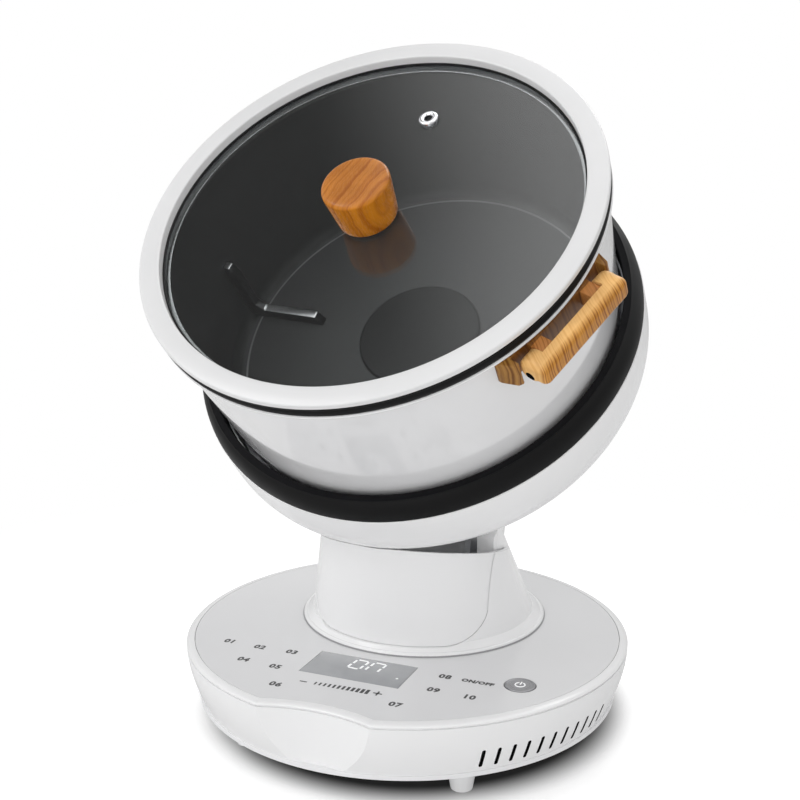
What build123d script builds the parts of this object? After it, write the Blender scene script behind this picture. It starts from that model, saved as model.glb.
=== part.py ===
from build123d import *
import os
from math import cos, pi, radians, sin

# Automatic stir fry cooker with a tilted, rotating pot, in millimetres.
# The origin is on the table under the centre of the round base, the front is -Y, and +Z is up.
# The head (bowl, drive, pot and lid) is modelled about its own axis and then set on the tilt pivot.
# In that head frame z is the height along the axis, 0 at the lid's top and negative into the bowl.

# Gaps between pieces
seam = 0.3
running_fit = 0.05
slip_fit = 0.1
clear_gap = 1.0

# Base
base_radius = 155.0
base_taper = 9.0
base_side_height = 35.5
foot_height = 20.2
foot_radius = 10.2
foot_taper = 3.2
foot_stud_radius = 4.0
foot_inset = 23.1
foot_angle = 38.5
pan_thickness = 2.8
pan_rim = 0.9
lip_width = 5.5
lip_rise = 1.5
base_wall = 3.0
ledge_width = 10.5
ledge_thickness = 2.5
panel_thickness = 3.0
scallop_radius = 108.0
scallop_depth = 11.6
scallop_lip = 5.5
vent_count = 11
vent_width = 2.5
vent_height = 13.0
vent_rise = 9.5
vent_slant = 4.0
vent_first_angle = 39.9
vent_pitch_angle = 3.93
post_radius = 5.5
screw_radius = 1.6
screw_head_radius = 3.2
screw_length = 14.0
screw_head_height = 1.8
bolt_radius = 2.5
bolt_head_width = 9.0
bolt_head_height = 3.5

# Controls
window_width = 69.4
window_depth = 34.1
window_behind = 9.9
window_thickness = 1.2
window_seat = 3.0
board_thickness = 1.6
board_drop = 16.0
board_gap = 2.0
board_post_radius = 3.5
board_screw_radius = 1.3
board_post_insets = [(59.7, -141), (59.7, -39), (28.4, -121.4), (28.4, -58.6)]
button_inset = 32.04
button_angle = -32.243
button_radius = 10.0
button_rise = 0.6
button_travel = 0.8
button_flange = 1.6
button_stem_radius = 3.0
switch_height = 8.0
switch_half_width = 6.0
touch_pad_radius = 3.5
touch_pad_insets = [(29.2, -143.4), (46.8, -135.4), (63.2, -125.2), (31.2, -128.4), (44.0, -119.1),
                    (30.1, -109.2), (30.0, -69.4), (62.2, -52.9), (45.6, -59.2), (46.0, -42.8),
                    (32.3, -49.3)]

# Fan and power
fan_inset = 52.51
fan_angle = -17.02
fan_size = 50.0
fan_height = 15.0
fan_wall = 1.5
fan_blades = 20
power_board_depth = 88.0
power_board_y = 12.0
power_board_inset = 30.0
power_board_standoff = 6.0
inlet_width = 27.5
inlet_height = 20.0
inlet_depth = 24.0
inlet_flange = 3.0
inlet_pin_gap = 7.0
inlet_rise_off_pan = 13.7
inlet_sunk = 3.4

# Pedestal
flange_radius = 88.3
flange_thickness = 2.5
flange_y = 32.8
neck_foot_radius = 81.2
neck_top_radius = 62.6
neck_height = 72.0
neck_lean = 26.5
neck_wall = 3.5
flare_height = 4.0
flare_width = 5.0
cover_half_width = 65.0
cover_corner = 22.0
neck_top_z = 122.2
neck_top_slope = 12.5
cheek_outer = 52.0
panel_screw_inset = 14.6
panel_screw_angle = 48.65
cheek_inner = 48.0

# Tilt hinge, seen from the side
pivot_y = 50.0
pivot_z = 158.0
tilt_at_rest = 45.0
tilt_range = 45.0
tilt_shaft_radius = 8.0
cheek_round = 24.0
bracket_arm_inner = 34.0
bracket_steel = 4.0
bracket_half_depth = 24.0
bracket_forward = 14.0
bracket_slot_gap = 4.0
bracket_round = 17.0
bracket_foot = 20.0
bush_wall = 2.0
bush_flange = 1.5
washer_radius = 14.0
knuckle_half_width = 30.0
knuckle_round = 15.0
knuckle_plate = 6.0
pivot_below_floor = 25.95
pivot_off_axis = 56.4

# Bowl of the head
bowl_beyond_bezel = 11.8
bowl_round_width = 84.2
bowl_swing_gap = 1.5
shell_top = -117.3
shell_shoulder = -139.6
shell_floor = -199.9
shell_wall = 3.0
bezel_top = -100.9
bezel_off_pot = 4.0
bezel_skirt = 6.0
bezel_bottom = -119.5
well_wall = 0.8
well_floor = -150.0
heater_inner_radius = 48.0
heater_inset = 12.6
heater_thickness = 4.0
heater_gap = 4.0
element_radius = 2.6
element_inset = 22.5
heater_post_radius = 5.0
sensor_radius = 5.0
sensor_inset = 12.0
motor_plate = 2.5
motor_plate_radius = 72.0
motor_plate_height = 22.4
motor_post_circle = 60.0
gearmotor_radius = 32.0
gearmotor_height = 19.0
drive_shaft_radius = 6.0
bearing_radius = 14.0
bearing_width = 8.0
bearing_spacing = 9.5
hub_radius = 43.0
hub_thickness = 5.0
dog_radius = 4.0
dog_circle = 28.0
dog_height = 4.0
spigot_radius = 8.0

# Pot
pot_rim_radius = 146.4
pot_taper = 5.8
pot_rim_top = -11.9
pot_floor = -134.9
pot_corner = 12.9
pot_steel = 2.2
pot_coating = 0.8
pot_lip_width = 2.6
pot_lip_thickness = 1.8
pot_bead = 1.05
coupling_thickness = 6.0
coupling_radius = 42.0
cap_radius = 43.6
cap_height = 2.5
fin_angles = (174.5, -5.5)
fin_start = 75.0
fin_ridge = 8.0
fin_width = 7.0
fin_top = -79.0

# Side handles of the pot, in a frame with x outward, y along the rim and z up the pot's axis
handle_angles = {"right": -26.0, "left": 154.0}
handle_fold = 85.0
handle_pin_off_lip = 7.0
handle_pin_height = -24.3
handle_pin_radius = 2.0
grip_reach = 11.9
grip_thickness = 9.5
grip_above_pin = 11.2
grip_below_pin = 3.7
grip_half_length = 38.0
grip_arm = 11.0
grip_edge = 3.0
arm_round = 8.0
arm_rise = 3.0
arm_gap = 0.6
bracket_half_length = 46.0
bracket_top = -14.3
bracket_bottom = -32.0
bracket_behind_arm = 4.0
lug_width = 9.0
lug_round = 4.6
lug_gap = 0.4
lug_below_pin = 2.0
lug_above_pin = 9.4

# Lid
lid_overhang = 0.6
lid_rim_width = 13.6
lid_rim_thickness = 3.6
seal_thickness = 8.0
glass_overlap = 3.0
glass_edge_drop = 6.5
glass_dish = 3.4
glass_thickness = 3.5
band_steel = 1.0
band_bottom = -13.0
band_lip = 6.0
knob_height = 29.3
knob_top_radius = 22.0
knob_base_radius = 19.0
knob_washer = 0.6
knob_screw_radius = 2.4
vent_hole_radius = 3.0
vent_eyelet_radius = 6.5
vent_off_glass_edge = 53.0
vent_angle = 79.0

# Radii and places worked out from the sizes above
base_foot_radius = base_radius - base_taper
foot_circle_radius = base_foot_radius - foot_inset
pot_low_radius = pot_rim_radius - pot_taper
pot_lip_radius = pot_rim_radius + pot_lip_width
pot_inside = pot_steel + pot_coating
bezel_inner_radius = pot_low_radius + bezel_off_pot
shell_radius = bezel_inner_radius + bowl_beyond_bezel
shell_flat_radius = shell_radius - bowl_round_width
heater_outer_radius = pot_low_radius - heater_inset
lid_radius = pot_lip_radius + lid_overhang
lid_window_radius = lid_radius - lid_rim_width
glass_radius = lid_window_radius + glass_overlap
band_radius = pot_rim_radius - pot_inside - clear_gap
vent_radius = glass_radius - vent_off_glass_edge
bracket_face = pot_lip_radius
handle_pin_out = bracket_face + handle_pin_off_lip
grip_outer = handle_pin_out + grip_reach
window_rear = flange_y - flange_radius - window_behind
window_front = window_rear - window_depth


def on_base(inset, angle):
    """A point of the base, by its distance from the rim and its angle."""
    out = base_radius - inset
    return out * cos(radians(angle)), out * sin(radians(angle))


button_x, button_y = on_base(button_inset, button_angle)
fan_x, fan_y = on_base(fan_inset, fan_angle)
touch_pad_places = [on_base(*place) for place in touch_pad_insets]
board_post_places = [on_base(*place) for place in board_post_insets]

# Heights worked out from the sizes above
pan_top = foot_height + pan_thickness
shell_base_z = pan_top
lip_z = shell_base_z + base_side_height
panel_z = lip_z + lip_rise
panel_under = panel_z - panel_thickness
ledge_under = panel_under - ledge_thickness
scallop_y = -(base_radius - scallop_depth + scallop_radius)
bracket_y = pivot_y - bracket_forward
floor_inside = shell_floor + shell_wall
motor_plate_z = floor_inside + motor_plate_height
flange_top = panel_z + flange_thickness
neck_end = flange_top + neck_height
board_top = panel_under - board_drop
board_under = board_top - board_thickness
cavity_floor = pot_floor + pot_inside
coupling_under = pot_floor - coupling_thickness
hub_top = coupling_under - seam
heater_top = pot_floor - heater_gap
grip_inner = grip_outer - grip_thickness
pivot_depth = shell_floor - pivot_below_floor
head_tilt_axis = (0, -sin(radians(tilt_at_rest)), cos(radians(tilt_at_rest)))
head_tilt_side = (0, cos(radians(tilt_at_rest)), sin(radians(tilt_at_rest)))
head_origin = (0, pivot_y + head_tilt_axis[1] * -pivot_depth + head_tilt_side[1] * pivot_off_axis,
               pivot_z + head_tilt_axis[2] * -pivot_depth + head_tilt_side[2] * pivot_off_axis)
head = Plane(origin=head_origin, x_dir=(1, 0, 0), z_dir=head_tilt_axis).location


# Shapes used throughout
def rod(radius, bottom, top, x=0, y=0):
    """An upright cylinder."""
    return Pos(x, y, bottom) * Cylinder(radius, top - bottom, align=(Align.CENTER, Align.CENTER, Align.MIN))


def tube(outer, inner, bottom, top, x=0, y=0):
    """An upright ring."""
    return rod(outer, bottom, top, x, y) - rod(inner, bottom - 1, top + 1, x, y)


def block(x, y, z):
    """A box between two limits on each axis."""
    size = [limits[1] - limits[0] for limits in (x, y, z)]
    return Pos(x[0], y[0], z[0]) * Box(*size, align=(Align.MIN, Align.MIN, Align.MIN))


def turned(*points):
    """A solid of revolution from an outline of (radius, height) points."""
    return revolve(Plane.XZ * make_face(Polyline(*points, close=True)), Axis.Z)


def turned_edges(*edges):
    """A solid of revolution from joined edges drawn as (radius, height)."""
    return revolve(Plane.XZ * make_face(list(edges)), Axis.Z)


def side_plate(outline, x0, x1):
    """A plate between two x values, from a sketch drawn as (y, z)."""
    return extrude(Plane.YZ.offset(x0) * outline, x1 - x0)


def cross_rod(radius, x0, x1, y, z):
    """A cylinder along X."""
    return side_plate(Pos(y, z) * Circle(radius), x0, x1)


def both_sides(shape):
    """The shape and its mirror image across the middle of the cooker."""
    return [shape, mirror(shape, Plane.YZ)]


def around(shape, angles):
    """Copies of a shape turned about the Z axis."""
    return [Rot(0, 0, angle) * shape for angle in angles]


def joined(shapes):
    """One solid out of overlapping ones."""
    result = shapes[0]
    for shape in shapes[1:]:
        result = result + shape
    return result


def group(shapes):
    """Separate solids in one node."""
    solids = [solid for shape in shapes for solid in shape.solids()]
    return Compound(children=solids)


def cut_all(shape, tools):
    """The shape with every tool cut out of it."""
    for tool in tools:
        shape = shape - tool
    return shape


# Base
def base_side(inset, bottom, top):
    """The solid inside the base's tapered side, with its scalloped front."""
    def radius_at(z):
        share = (z - shell_base_z) / base_side_height
        bulge = (base_radius - base_foot_radius) * sin(min(max(share, 0), 1) * pi / 2)
        return base_foot_radius + bulge - inset
    steps = 8
    side = [(radius_at(bottom + (top - bottom) * i / steps), bottom + (top - bottom) * i / steps)
            for i in range(steps + 1)]
    body = turned((0, bottom), *side, (0, top))
    return body - rod(scallop_radius + inset, bottom - 1, top + 1, y=scallop_y)


post_angles = (20, 62, 118, 150, 205, 335)
post_circle = base_foot_radius - base_wall - post_radius + slip_fit
foot_places = [(sx * foot_circle_radius * sin(radians(foot_angle)), sy * foot_circle_radius *
                cos(radians(foot_angle))) for sx in (-1, 1) for sy in (-1, 1)]
bracket_bolt_places = [(sx * (bracket_arm_inner + bracket_steel + bracket_foot / 2),
                        bracket_y + sy * bracket_half_depth * 0.6) for sx in (-1, 1) for sy in (-1, 1)]
bracket_half_width = bracket_arm_inner + bracket_steel + bracket_foot
power_board_limits = ((-(base_radius - power_board_inset), -(bracket_half_width + 3)),
                      (power_board_y - power_board_depth / 2, power_board_y + power_board_depth / 2))


def base_pan():
    """Bottom plate, with holes for feet, screws and the tilt bracket's bolts."""
    pan = rod(base_foot_radius + pan_rim, foot_height, pan_top)
    holes = [rod(foot_stud_radius + slip_fit, foot_height - 1, pan_top + 1, x, y) for x, y in foot_places]
    holes += around(rod(screw_radius + slip_fit, foot_height - 1, pan_top + 1, post_circle), post_angles)
    holes += [rod(bolt_radius + slip_fit, foot_height - 1, pan_top + 1, x, y)
              for x, y in bracket_bolt_places]
    pan = cut_all(pan, holes)
    (x0, x1), (y0, y1) = power_board_limits
    posts = [rod(board_post_radius, pan_top - 1, pan_top + power_board_standoff, x, y)
             for x in (x0 + 5, x1 - 5) for y in (y0 + 5, y1 - 5)]
    return joined([pan] + posts)


def foot(x, y):
    """Tapered rubber foot with a stud through the pan."""
    tread = Pos(x, y, foot_height / 2) * Cone(foot_radius - foot_taper, foot_radius, foot_height)
    return tread + rod(foot_stud_radius, foot_height - 1, pan_top + 1.5, x, y)


def vent_slots():
    """Slanted slots in the right side of the base."""
    slot = Pos(0, -base_radius + 2, shell_base_z + vent_rise) * (
        Rot(0, vent_slant, 0) * Box(vent_width, 6 * base_wall, vent_height))
    return around(slot, [vent_first_angle + i * vent_pitch_angle for i in range(vent_count)])


inlet_z = shell_base_z + inlet_rise_off_pan
inlet_face_y = base_radius - base_wall - inlet_sunk
inlet_half = inlet_width / 2 + 6.0
inlet_rise = inlet_height / 2 + 3.0


def base_shell():
    """Side wall of the base, with its lip, panel ledge, screw posts, vents and inlet seat."""
    outer = base_side(0, shell_base_z, lip_z)
    lip = turned((0, lip_z - 0.5), (base_radius, lip_z - 0.5), (base_radius, lip_z),
                 (base_radius - lip_width, panel_z), (0, panel_z))
    lip -= rod(scallop_radius, lip_z - 1, panel_z + 1, y=scallop_y)
    shell = outer + lip
    shell -= base_side(base_wall, shell_base_z - 1, ledge_under)
    opening_radius = base_radius - lip_width
    recess = rod(opening_radius, panel_under, panel_z + 1)
    recess -= rod(scallop_radius + scallop_lip, panel_under - 1, panel_z + 2, y=scallop_y)
    opening = rod(opening_radius - ledge_width, ledge_under - 1, panel_z + 1)
    opening -= rod(scallop_radius + scallop_lip + ledge_width, ledge_under - 2, panel_z + 2, y=scallop_y)
    shell = shell - recess - opening
    shell = joined([shell] + around(rod(post_radius, shell_base_z, ledge_under + 1, post_circle),
                                    post_angles))
    shell = cut_all(shell, around(rod(screw_radius + slip_fit / 2, shell_base_z - 1,
                                      shell_base_z + screw_length, post_circle), post_angles))
    shell = cut_all(shell, vent_slots())
    seat = block((-inlet_half, inlet_half), (inlet_face_y - 4, base_radius),
                 (inlet_z - inlet_rise, inlet_z + inlet_rise))
    shell += seat & base_side(0, shell_base_z, lip_z)
    shell -= block((-inlet_half, inlet_half), (inlet_face_y, base_radius + 5),
                   (inlet_z - inlet_rise, inlet_z + inlet_rise))
    shell -= inlet_outline(slip_fit, inlet_face_y - 9, inlet_face_y + 5)
    return shell


def inlet_outline(grow, y0, y1):
    """Prism of the inlet's body, with its two lower corners cut."""
    w, h, c = inlet_width / 2 + grow, inlet_height / 2 + grow, 5.0
    shape = make_face(Polyline((-w, h), (w, h), (w, c - h), (w - c, -h), (c - w, -h), (-w, c - h), close=True))
    return extrude(Plane((0, y0, inlet_z), x_dir=(-1, 0, 0), z_dir=(0, 1, 0)) * shape, y1 - y0)


def power_inlet():
    """Socket for a mains lead, its mouth open to the rear."""
    front = inlet_face_y - inlet_depth + inlet_flange
    body = inlet_outline(0, front, inlet_face_y + inlet_flange)
    flange = block((-inlet_half + 1, inlet_half - 1), (inlet_face_y, inlet_face_y + inlet_flange),
                   (inlet_z - inlet_rise + 0.5, inlet_z + inlet_rise - 0.5))
    body += flange
    body -= inlet_outline(-2.0, front + 5, inlet_face_y + inlet_flange + 1)
    return cut_all(body, [pin for pin in inlet_pin_solids(slip_fit / 2)])


def inlet_pin_solids(grow):
    """Three flat pins, the middle one higher."""
    front = inlet_face_y - inlet_depth + inlet_flange
    return [block((x - 1 - grow, x + 1 + grow), (front - 6, front + 16),
                  (inlet_z + rise - 2 - grow, inlet_z + rise + 2 + grow))
            for x, rise in ((-inlet_pin_gap, -2.0), (0, 2.0), (inlet_pin_gap, -2.0))]


def inlet_pins():
    """The socket's contact pins."""
    return group(inlet_pin_solids(0))


def case_screws():
    """Screws from below: pan to side wall, and panel to pedestal."""
    shank = rod(screw_radius, foot_height, foot_height + screw_length, post_circle)
    top = rod(screw_head_radius, foot_height - screw_head_height, foot_height, post_circle)
    pedestal = [rod(screw_radius, panel_under, panel_under + screw_length - 3, x, y)
                + rod(screw_head_radius, panel_under - screw_head_height, panel_under, x, y)
                for x, y in panel_screw_places]
    return group(around(shank + top, post_angles) + pedestal)


def window_box(grow, z0, z1):
    """A box over the display window's place."""
    return block((-window_width / 2 - grow, window_width / 2 + grow),
                 (window_front - grow, window_front + window_depth + grow), (z0, z1))


def bracket_slot(z0, z1):
    """The slot that the tilt bracket's arms rise through."""
    half_x = bracket_arm_inner + bracket_steel + bracket_slot_gap
    half_y = bracket_half_depth + bracket_slot_gap
    return block((-half_x, half_x), (bracket_y - half_y, bracket_y + half_y), (z0, z1))


panel_screw_circle = neck_foot_radius - panel_screw_inset
panel_screw_places = [(sx * panel_screw_circle * cos(radians(panel_screw_angle)),
                       flange_y + sy * panel_screw_circle * sin(radians(panel_screw_angle)))
                      for sx in (-1, 1) for sy in (-1, 1)]


def top_panel():
    """Round control panel with its window recess, button hole and board posts."""
    panel = rod(base_radius - lip_width - seam, panel_under, panel_z)
    panel -= rod(scallop_radius + scallop_lip + seam, panel_under - 1, panel_z + 1, y=scallop_y)
    panel -= window_box(0.2, panel_z - window_thickness, panel_z + 1)
    panel -= window_box(-window_seat, panel_under - 1, panel_z + 1)
    panel -= rod(button_radius + seam, panel_under - 1, panel_z + 1, button_x, button_y)
    panel -= bracket_slot(panel_under - 1, panel_z + 1)
    panel = cut_all(panel, [rod(screw_radius + slip_fit, panel_under - 1, panel_z + 1, x, y)
                            for x, y in panel_screw_places])
    posts = [rod(board_post_radius, board_top, panel_under + 1, x, y)
             - rod(board_screw_radius, board_top - 1, board_top + 8, x, y) for x, y in board_post_places]
    return joined([panel] + posts)


def display_window():
    """Smoked glass set flush in the panel."""
    return window_box(0, panel_z - window_thickness, panel_z)


def display_module():
    """Lit digit block under the window."""
    return window_box(-window_seat - clear_gap, board_top, panel_z - window_thickness - seam)


def control_board():
    """Circuit board under the front of the panel."""
    board = rod(base_radius - lip_width - ledge_width - board_gap, board_under, board_top)
    board -= rod(scallop_radius + scallop_lip + ledge_width + board_gap, board_under - 1, board_top + 1,
                 y=scallop_y)
    rear = flange_y - flange_radius
    board &= block((-base_radius, base_radius), (-base_radius, rear), (board_under, board_top))
    board = cut_all(board, around(rod(post_radius + clear_gap, board_under - 1, board_top + 1, post_circle),
                                  post_angles))
    return cut_all(board, [rod(board_screw_radius, board_under - 1, board_top + 1, x, y)
                           for x, y in board_post_places])


def touch_pads():
    """Conductive pads that carry each touch key's place down to the board."""
    return group([rod(touch_pad_radius, board_top, panel_under, x, y) for x, y in touch_pad_places])


def power_button():
    """Round metal cap with a flange that keeps it under the panel."""
    top = panel_z + button_rise
    stem_end = board_top + switch_height + seam
    cap = rod(button_radius, panel_under - 2, top, button_x, button_y)
    cap = fillet(cap.edges().group_by(Axis.Z)[-1], button_rise)
    cap += rod(button_radius + button_flange, panel_under - seam - 1.5, panel_under - seam, button_x, button_y)
    return cap + rod(button_stem_radius, stem_end, panel_under - seam - 1, button_x, button_y)


def power_switch():
    """Push switch on the board under the button, with its plunger."""
    case = block((button_x - switch_half_width, button_x + switch_half_width),
                 (button_y - switch_half_width, button_y + switch_half_width),
                 (board_top, board_top + switch_height - 2))
    return case + rod(2.0, board_top + 1, board_top + switch_height - button_travel, button_x, button_y)


def power_board():
    """Mains board on the pan's posts with its transformer, relay, capacitors and heat sink."""
    (x0, x1), (y0, y1) = power_board_limits
    x, y = (x0 + x1) / 2, (y0 + y1) / 2
    under = pan_top + power_board_standoff
    top = under + board_thickness
    board = block((x0, x1), (y0, y1), (under, top))
    transformer = block((x - 24, x + 6), (y + 8, y + 36), (top, top + 22))
    relay = block((x + 10, x + 26), (y + 12, y + 32), (top, top + 15))
    sink = block((x - 26, x - 20), (y - 34, y + 2), (top, top + 20))
    sink = joined([sink] + [block((x - 21, x - 10), (y - 34 + i * 7, y - 32 + i * 7), (top, top + 20))
                            for i in range(6)])
    cans = [rod(6.5, top, top + 18, x + 2 + i * 16, y - 24) for i in range(2)]
    choke = tube(9, 4, top, top + 8, x + 12, y - 4)
    return group([board, transformer, relay, sink, choke] + cans)


def fan_housing():
    """Blower case on the pan, its mouth facing the vents."""
    half = fan_size / 2
    turn = vent_first_angle + (vent_count - 1) / 2 * vent_pitch_angle
    case = block((-half, half), (-half, half), (0, fan_height))
    room = rod(half - fan_wall, fan_wall, fan_height - fan_wall)
    mouth = block((-half + fan_wall, half - fan_wall), (-half - 1, 0), (fan_wall, fan_height - fan_wall))
    case = case - room - mouth - rod(half * 0.6, fan_height - fan_wall - 1, fan_height + 1)
    case += rod(1.5, 0.5, fan_height - 3)
    return Pos(fan_x, fan_y, pan_top) * (Rot(0, 0, turn) * case)


def fan_impeller():
    """Blower wheel on the case's pin."""
    wheel = rod(fan_size / 2 - 4, 3, 4.2)
    wheel += rod(8, 3, fan_height - 4)
    blade = block((14, fan_size / 2 - 4.5), (-0.5, 0.5), (4, fan_height - 4))
    wheel = joined([wheel] + around(blade, [360 / fan_blades * i for i in range(fan_blades)]))
    wheel -= rod(1.5 + running_fit, 2, fan_height)
    return Pos(fan_x, fan_y, pan_top) * wheel


# Pedestal
def neck_solid(inset, bottom, top):
    """The leaning cone of the pedestal's neck, inset by a wall."""
    def section(z):
        share = (z - flange_top) / neck_height
        radius = neck_foot_radius + (neck_top_radius - neck_foot_radius) * share - inset
        return Pos(0, flange_y - neck_lean * share, z) * Circle(radius)
    return loft([section(bottom), section(top)], ruled=True)


def neck_trim():
    """Everything above the neck's top edge, which rises towards the front."""
    edge_z = neck_top_z + 100 * sin(radians(neck_top_slope))
    sketch = make_face(Polyline((-100, edge_z), (100, 2 * neck_top_z - edge_z), (100, 400), (-100, 400),
                                close=True))
    return side_plate(sketch, -150, 150)


def cover_prism(inset):
    """The front cover's outline carried through the neck's front wall."""
    half = cover_half_width - inset
    low = flange_top + 2 + inset
    plate = block((-half, half), (-150, 12), (low, 300))
    return fillet(plate.edges().filter_by(Axis.Y).group_by(Axis.Z)[0], cover_corner - inset)


def bowl_room():
    """The room that the bowl sweeps as the head tilts, with a gap all round."""
    bowl = head * shell_form(-bowl_swing_gap, shell_top)
    about_pivot = Pos(0, pivot_y, pivot_z)
    steps = 3
    return [about_pivot * (Rot(-tilt_range * step / steps, 0, 0) * (about_pivot.inverse() * bowl))
            for step in range(steps + 1)]


def cheek():
    """One arm of the pedestal, from the neck to the round around the pivot."""
    high = neck_top_z
    outline = make_face(Polyline((-18, high - 26), (-3, high - 1), (22, high + 10),
                                 (pivot_y - cheek_round * 0.84, pivot_z + cheek_round * 0.5),
                                 (pivot_y + cheek_round, pivot_z), (62, high - 6), (50, high - 30),
                                 close=True))
    outline += Pos(pivot_y, pivot_z) * Circle(cheek_round)
    arm = side_plate(outline, cheek_inner, cheek_outer + 8)
    limit = neck_solid(0, flange_top, neck_end) + block((0, cheek_outer), (12, 120), (neck_top_z - 20, 250))
    return (arm & limit) - cover_prism(0)


def pedestal_body():
    """Flange, neck and two cheeks in one moulding, open at the front under its cover."""
    flange = rod(flange_radius, panel_z, flange_top, y=flange_y)
    flange = fillet(flange.edges().group_by(Axis.Z)[-1], flange_thickness * 0.6)
    share = flare_height / neck_height
    flare = loft([Pos(0, flange_y, flange_top - 0.5) * Circle(neck_foot_radius + flare_width),
                  Pos(0, flange_y - neck_lean * share, flange_top + flare_height)
                  * Circle(neck_foot_radius - 0.4)], ruled=True)
    neck = neck_solid(0, flange_top - 1, neck_end) + flare
    hollow = neck_solid(neck_wall, flange_top, neck_end + 1)
    shell = neck - hollow - neck_trim() - cover_prism(0)
    shell = flange + shell - bracket_slot(panel_z - 1, flange_top + 1)
    bosses = [rod(5, flange_top - 1, flange_top + 10, x, y) for x, y in panel_screw_places]
    shell = joined([shell] + bosses + both_sides(cheek()))
    shell = cut_all(shell, bowl_room())
    return cut_all(shell, [rod(screw_radius + slip_fit / 2, panel_z - 1, panel_z + 10, x, y)
                           for x, y in panel_screw_places])


def pedestal_front_cover():
    """Curved cover clipped into the neck's open front."""
    wall = neck_solid(0, flange_top, neck_end) - neck_solid(neck_wall, flange_top - 1, neck_end + 1)
    return cut_all((wall & cover_prism(seam)) - neck_trim(), bowl_room())


def tilt_bracket():
    """Steel yoke on the pan that carries the tilt shaft's bushes."""
    outer = bracket_arm_inner + bracket_steel
    front, rear = bracket_y - bracket_half_depth, bracket_y + bracket_half_depth
    arm_side = make_face(Polyline((front, pan_top), (rear, pan_top),
                                  (pivot_y + bracket_round, pivot_z), (pivot_y - bracket_round, pivot_z),
                                  close=True))
    arm_side += Pos(pivot_y, pivot_z) * Circle(bracket_round)
    arm = side_plate(arm_side, bracket_arm_inner, outer)
    arm -= cross_rod(tilt_shaft_radius + bush_wall + running_fit, bracket_arm_inner - 1, outer + 1,
                     pivot_y, pivot_z)
    foot_plate = block((0, outer + bracket_foot), (front, rear), (pan_top, pan_top + bracket_steel))
    half = arm + foot_plate
    yoke = joined(both_sides(half))
    return cut_all(yoke, [rod(bolt_radius + slip_fit, pan_top - 1, pan_top + 20, x, y)
                          for x, y in bracket_bolt_places])


def bracket_bolts():
    """Bolts and nuts that hold the tilt bracket on the pan."""
    solids = []
    for x, y in bracket_bolt_places:
        top = pan_top + bracket_steel
        solids.append(rod(bolt_radius, foot_height - 4, top, x, y)
                      + Pos(x, y, top) * extrude(RegularPolygon(bolt_head_width / 2, 6), bolt_head_height))
        nut = (Pos(x, y, foot_height - bolt_head_height)
               * extrude(RegularPolygon(bolt_head_width / 2, 6), bolt_head_height))
        solids.append(nut - rod(bolt_radius + slip_fit / 2, 0, foot_height, x, y))
    return group(solids)


def tilt_bushes():
    """Flanged plain bushes in the bracket's arms."""
    outer = bracket_arm_inner + bracket_steel
    bush = cross_rod(tilt_shaft_radius + bush_wall, bracket_arm_inner, outer, pivot_y, pivot_z)
    bush += cross_rod(tilt_shaft_radius + bush_wall + 3, outer, outer + bush_flange, pivot_y, pivot_z)
    bush -= cross_rod(tilt_shaft_radius + running_fit, bracket_arm_inner - 1, outer + 9, pivot_y, pivot_z)
    return group(both_sides(bush))


clip_x = bracket_arm_inner + bracket_steel + bush_flange + 0.8
clip_width = 1.2


def tilt_shaft():
    """Steel shaft through the knuckle, grooved for its clips."""
    half = clip_x + 4
    shaft = cross_rod(tilt_shaft_radius, -half, half, pivot_y, pivot_z)
    groove = (cross_rod(tilt_shaft_radius + 1, clip_x, clip_x + clip_width + 0.2, pivot_y, pivot_z)
              - cross_rod(tilt_shaft_radius - 1, clip_x - 1, clip_x + 4, pivot_y, pivot_z))
    return cut_all(shaft, both_sides(groove))


def shaft_clips():
    """Split clips that keep the shaft between the arms."""
    x0, x1 = clip_x + 0.1, clip_x + 0.1 + clip_width
    clip = (cross_rod(tilt_shaft_radius + 3, x0, x1, pivot_y, pivot_z)
            - cross_rod(tilt_shaft_radius - 1 + running_fit, x0 - 1, x1 + 1, pivot_y, pivot_z))
    clip -= block((x0 - 1, x1 + 1), (pivot_y - 5, pivot_y + 5), (pivot_z - 20, pivot_z))
    return group(both_sides(clip))


def friction_washers():
    """Washers squeezed between knuckle and arms, which hold the head at any tilt."""
    x0, x1 = knuckle_half_width + seam, bracket_arm_inner
    washer = (cross_rod(washer_radius, x0, x1, pivot_y, pivot_z)
              - cross_rod(tilt_shaft_radius + slip_fit, x0 - 1, x1 + 1, pivot_y, pivot_z))
    return group(both_sides(washer))


# Head, modelled upright about its own axis
def shell_form(inset, top):
    """The bowl's outside, or its inside with an inset."""
    edge = shell_radius - inset
    flat = shell_floor + inset
    depth = shell_shoulder - flat
    curve = EllipticalCenterArc((shell_flat_radius, shell_shoulder), edge - shell_flat_radius, depth, start_angle=270,
                                arc_size=90)
    lines = [Line((0, top), (edge, top)), Line((edge, top), (edge, shell_shoulder)), curve,
             Line((shell_flat_radius, flat), (0, flat)), Line((0, flat), (0, top))]
    return turned_edges(*lines)


motor_post_angles = (45, 135, 225, 315)
knuckle_bolt_places = [(sx * 19, -pivot_off_axis + dy) for sx in (-1, 1) for dy in (-2, 23)]


def head_shell():
    """White bowl under the pot, with posts for the drive plate."""
    shell = shell_form(0, shell_top) - shell_form(shell_wall, shell_top + 1)
    posts = around(rod(6, floor_inside - 1, motor_plate_z, motor_post_circle), motor_post_angles)
    shell = joined([shell] + posts)
    shell = cut_all(shell, around(rod(screw_radius + slip_fit / 2, motor_plate_z - screw_length,
                                      motor_plate_z + 1, motor_post_circle), motor_post_angles))
    return cut_all(shell, [rod(bolt_radius + slip_fit, shell_floor - 1, floor_inside + 1, x, y)
                           for x, y in knuckle_bolt_places])


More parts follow.
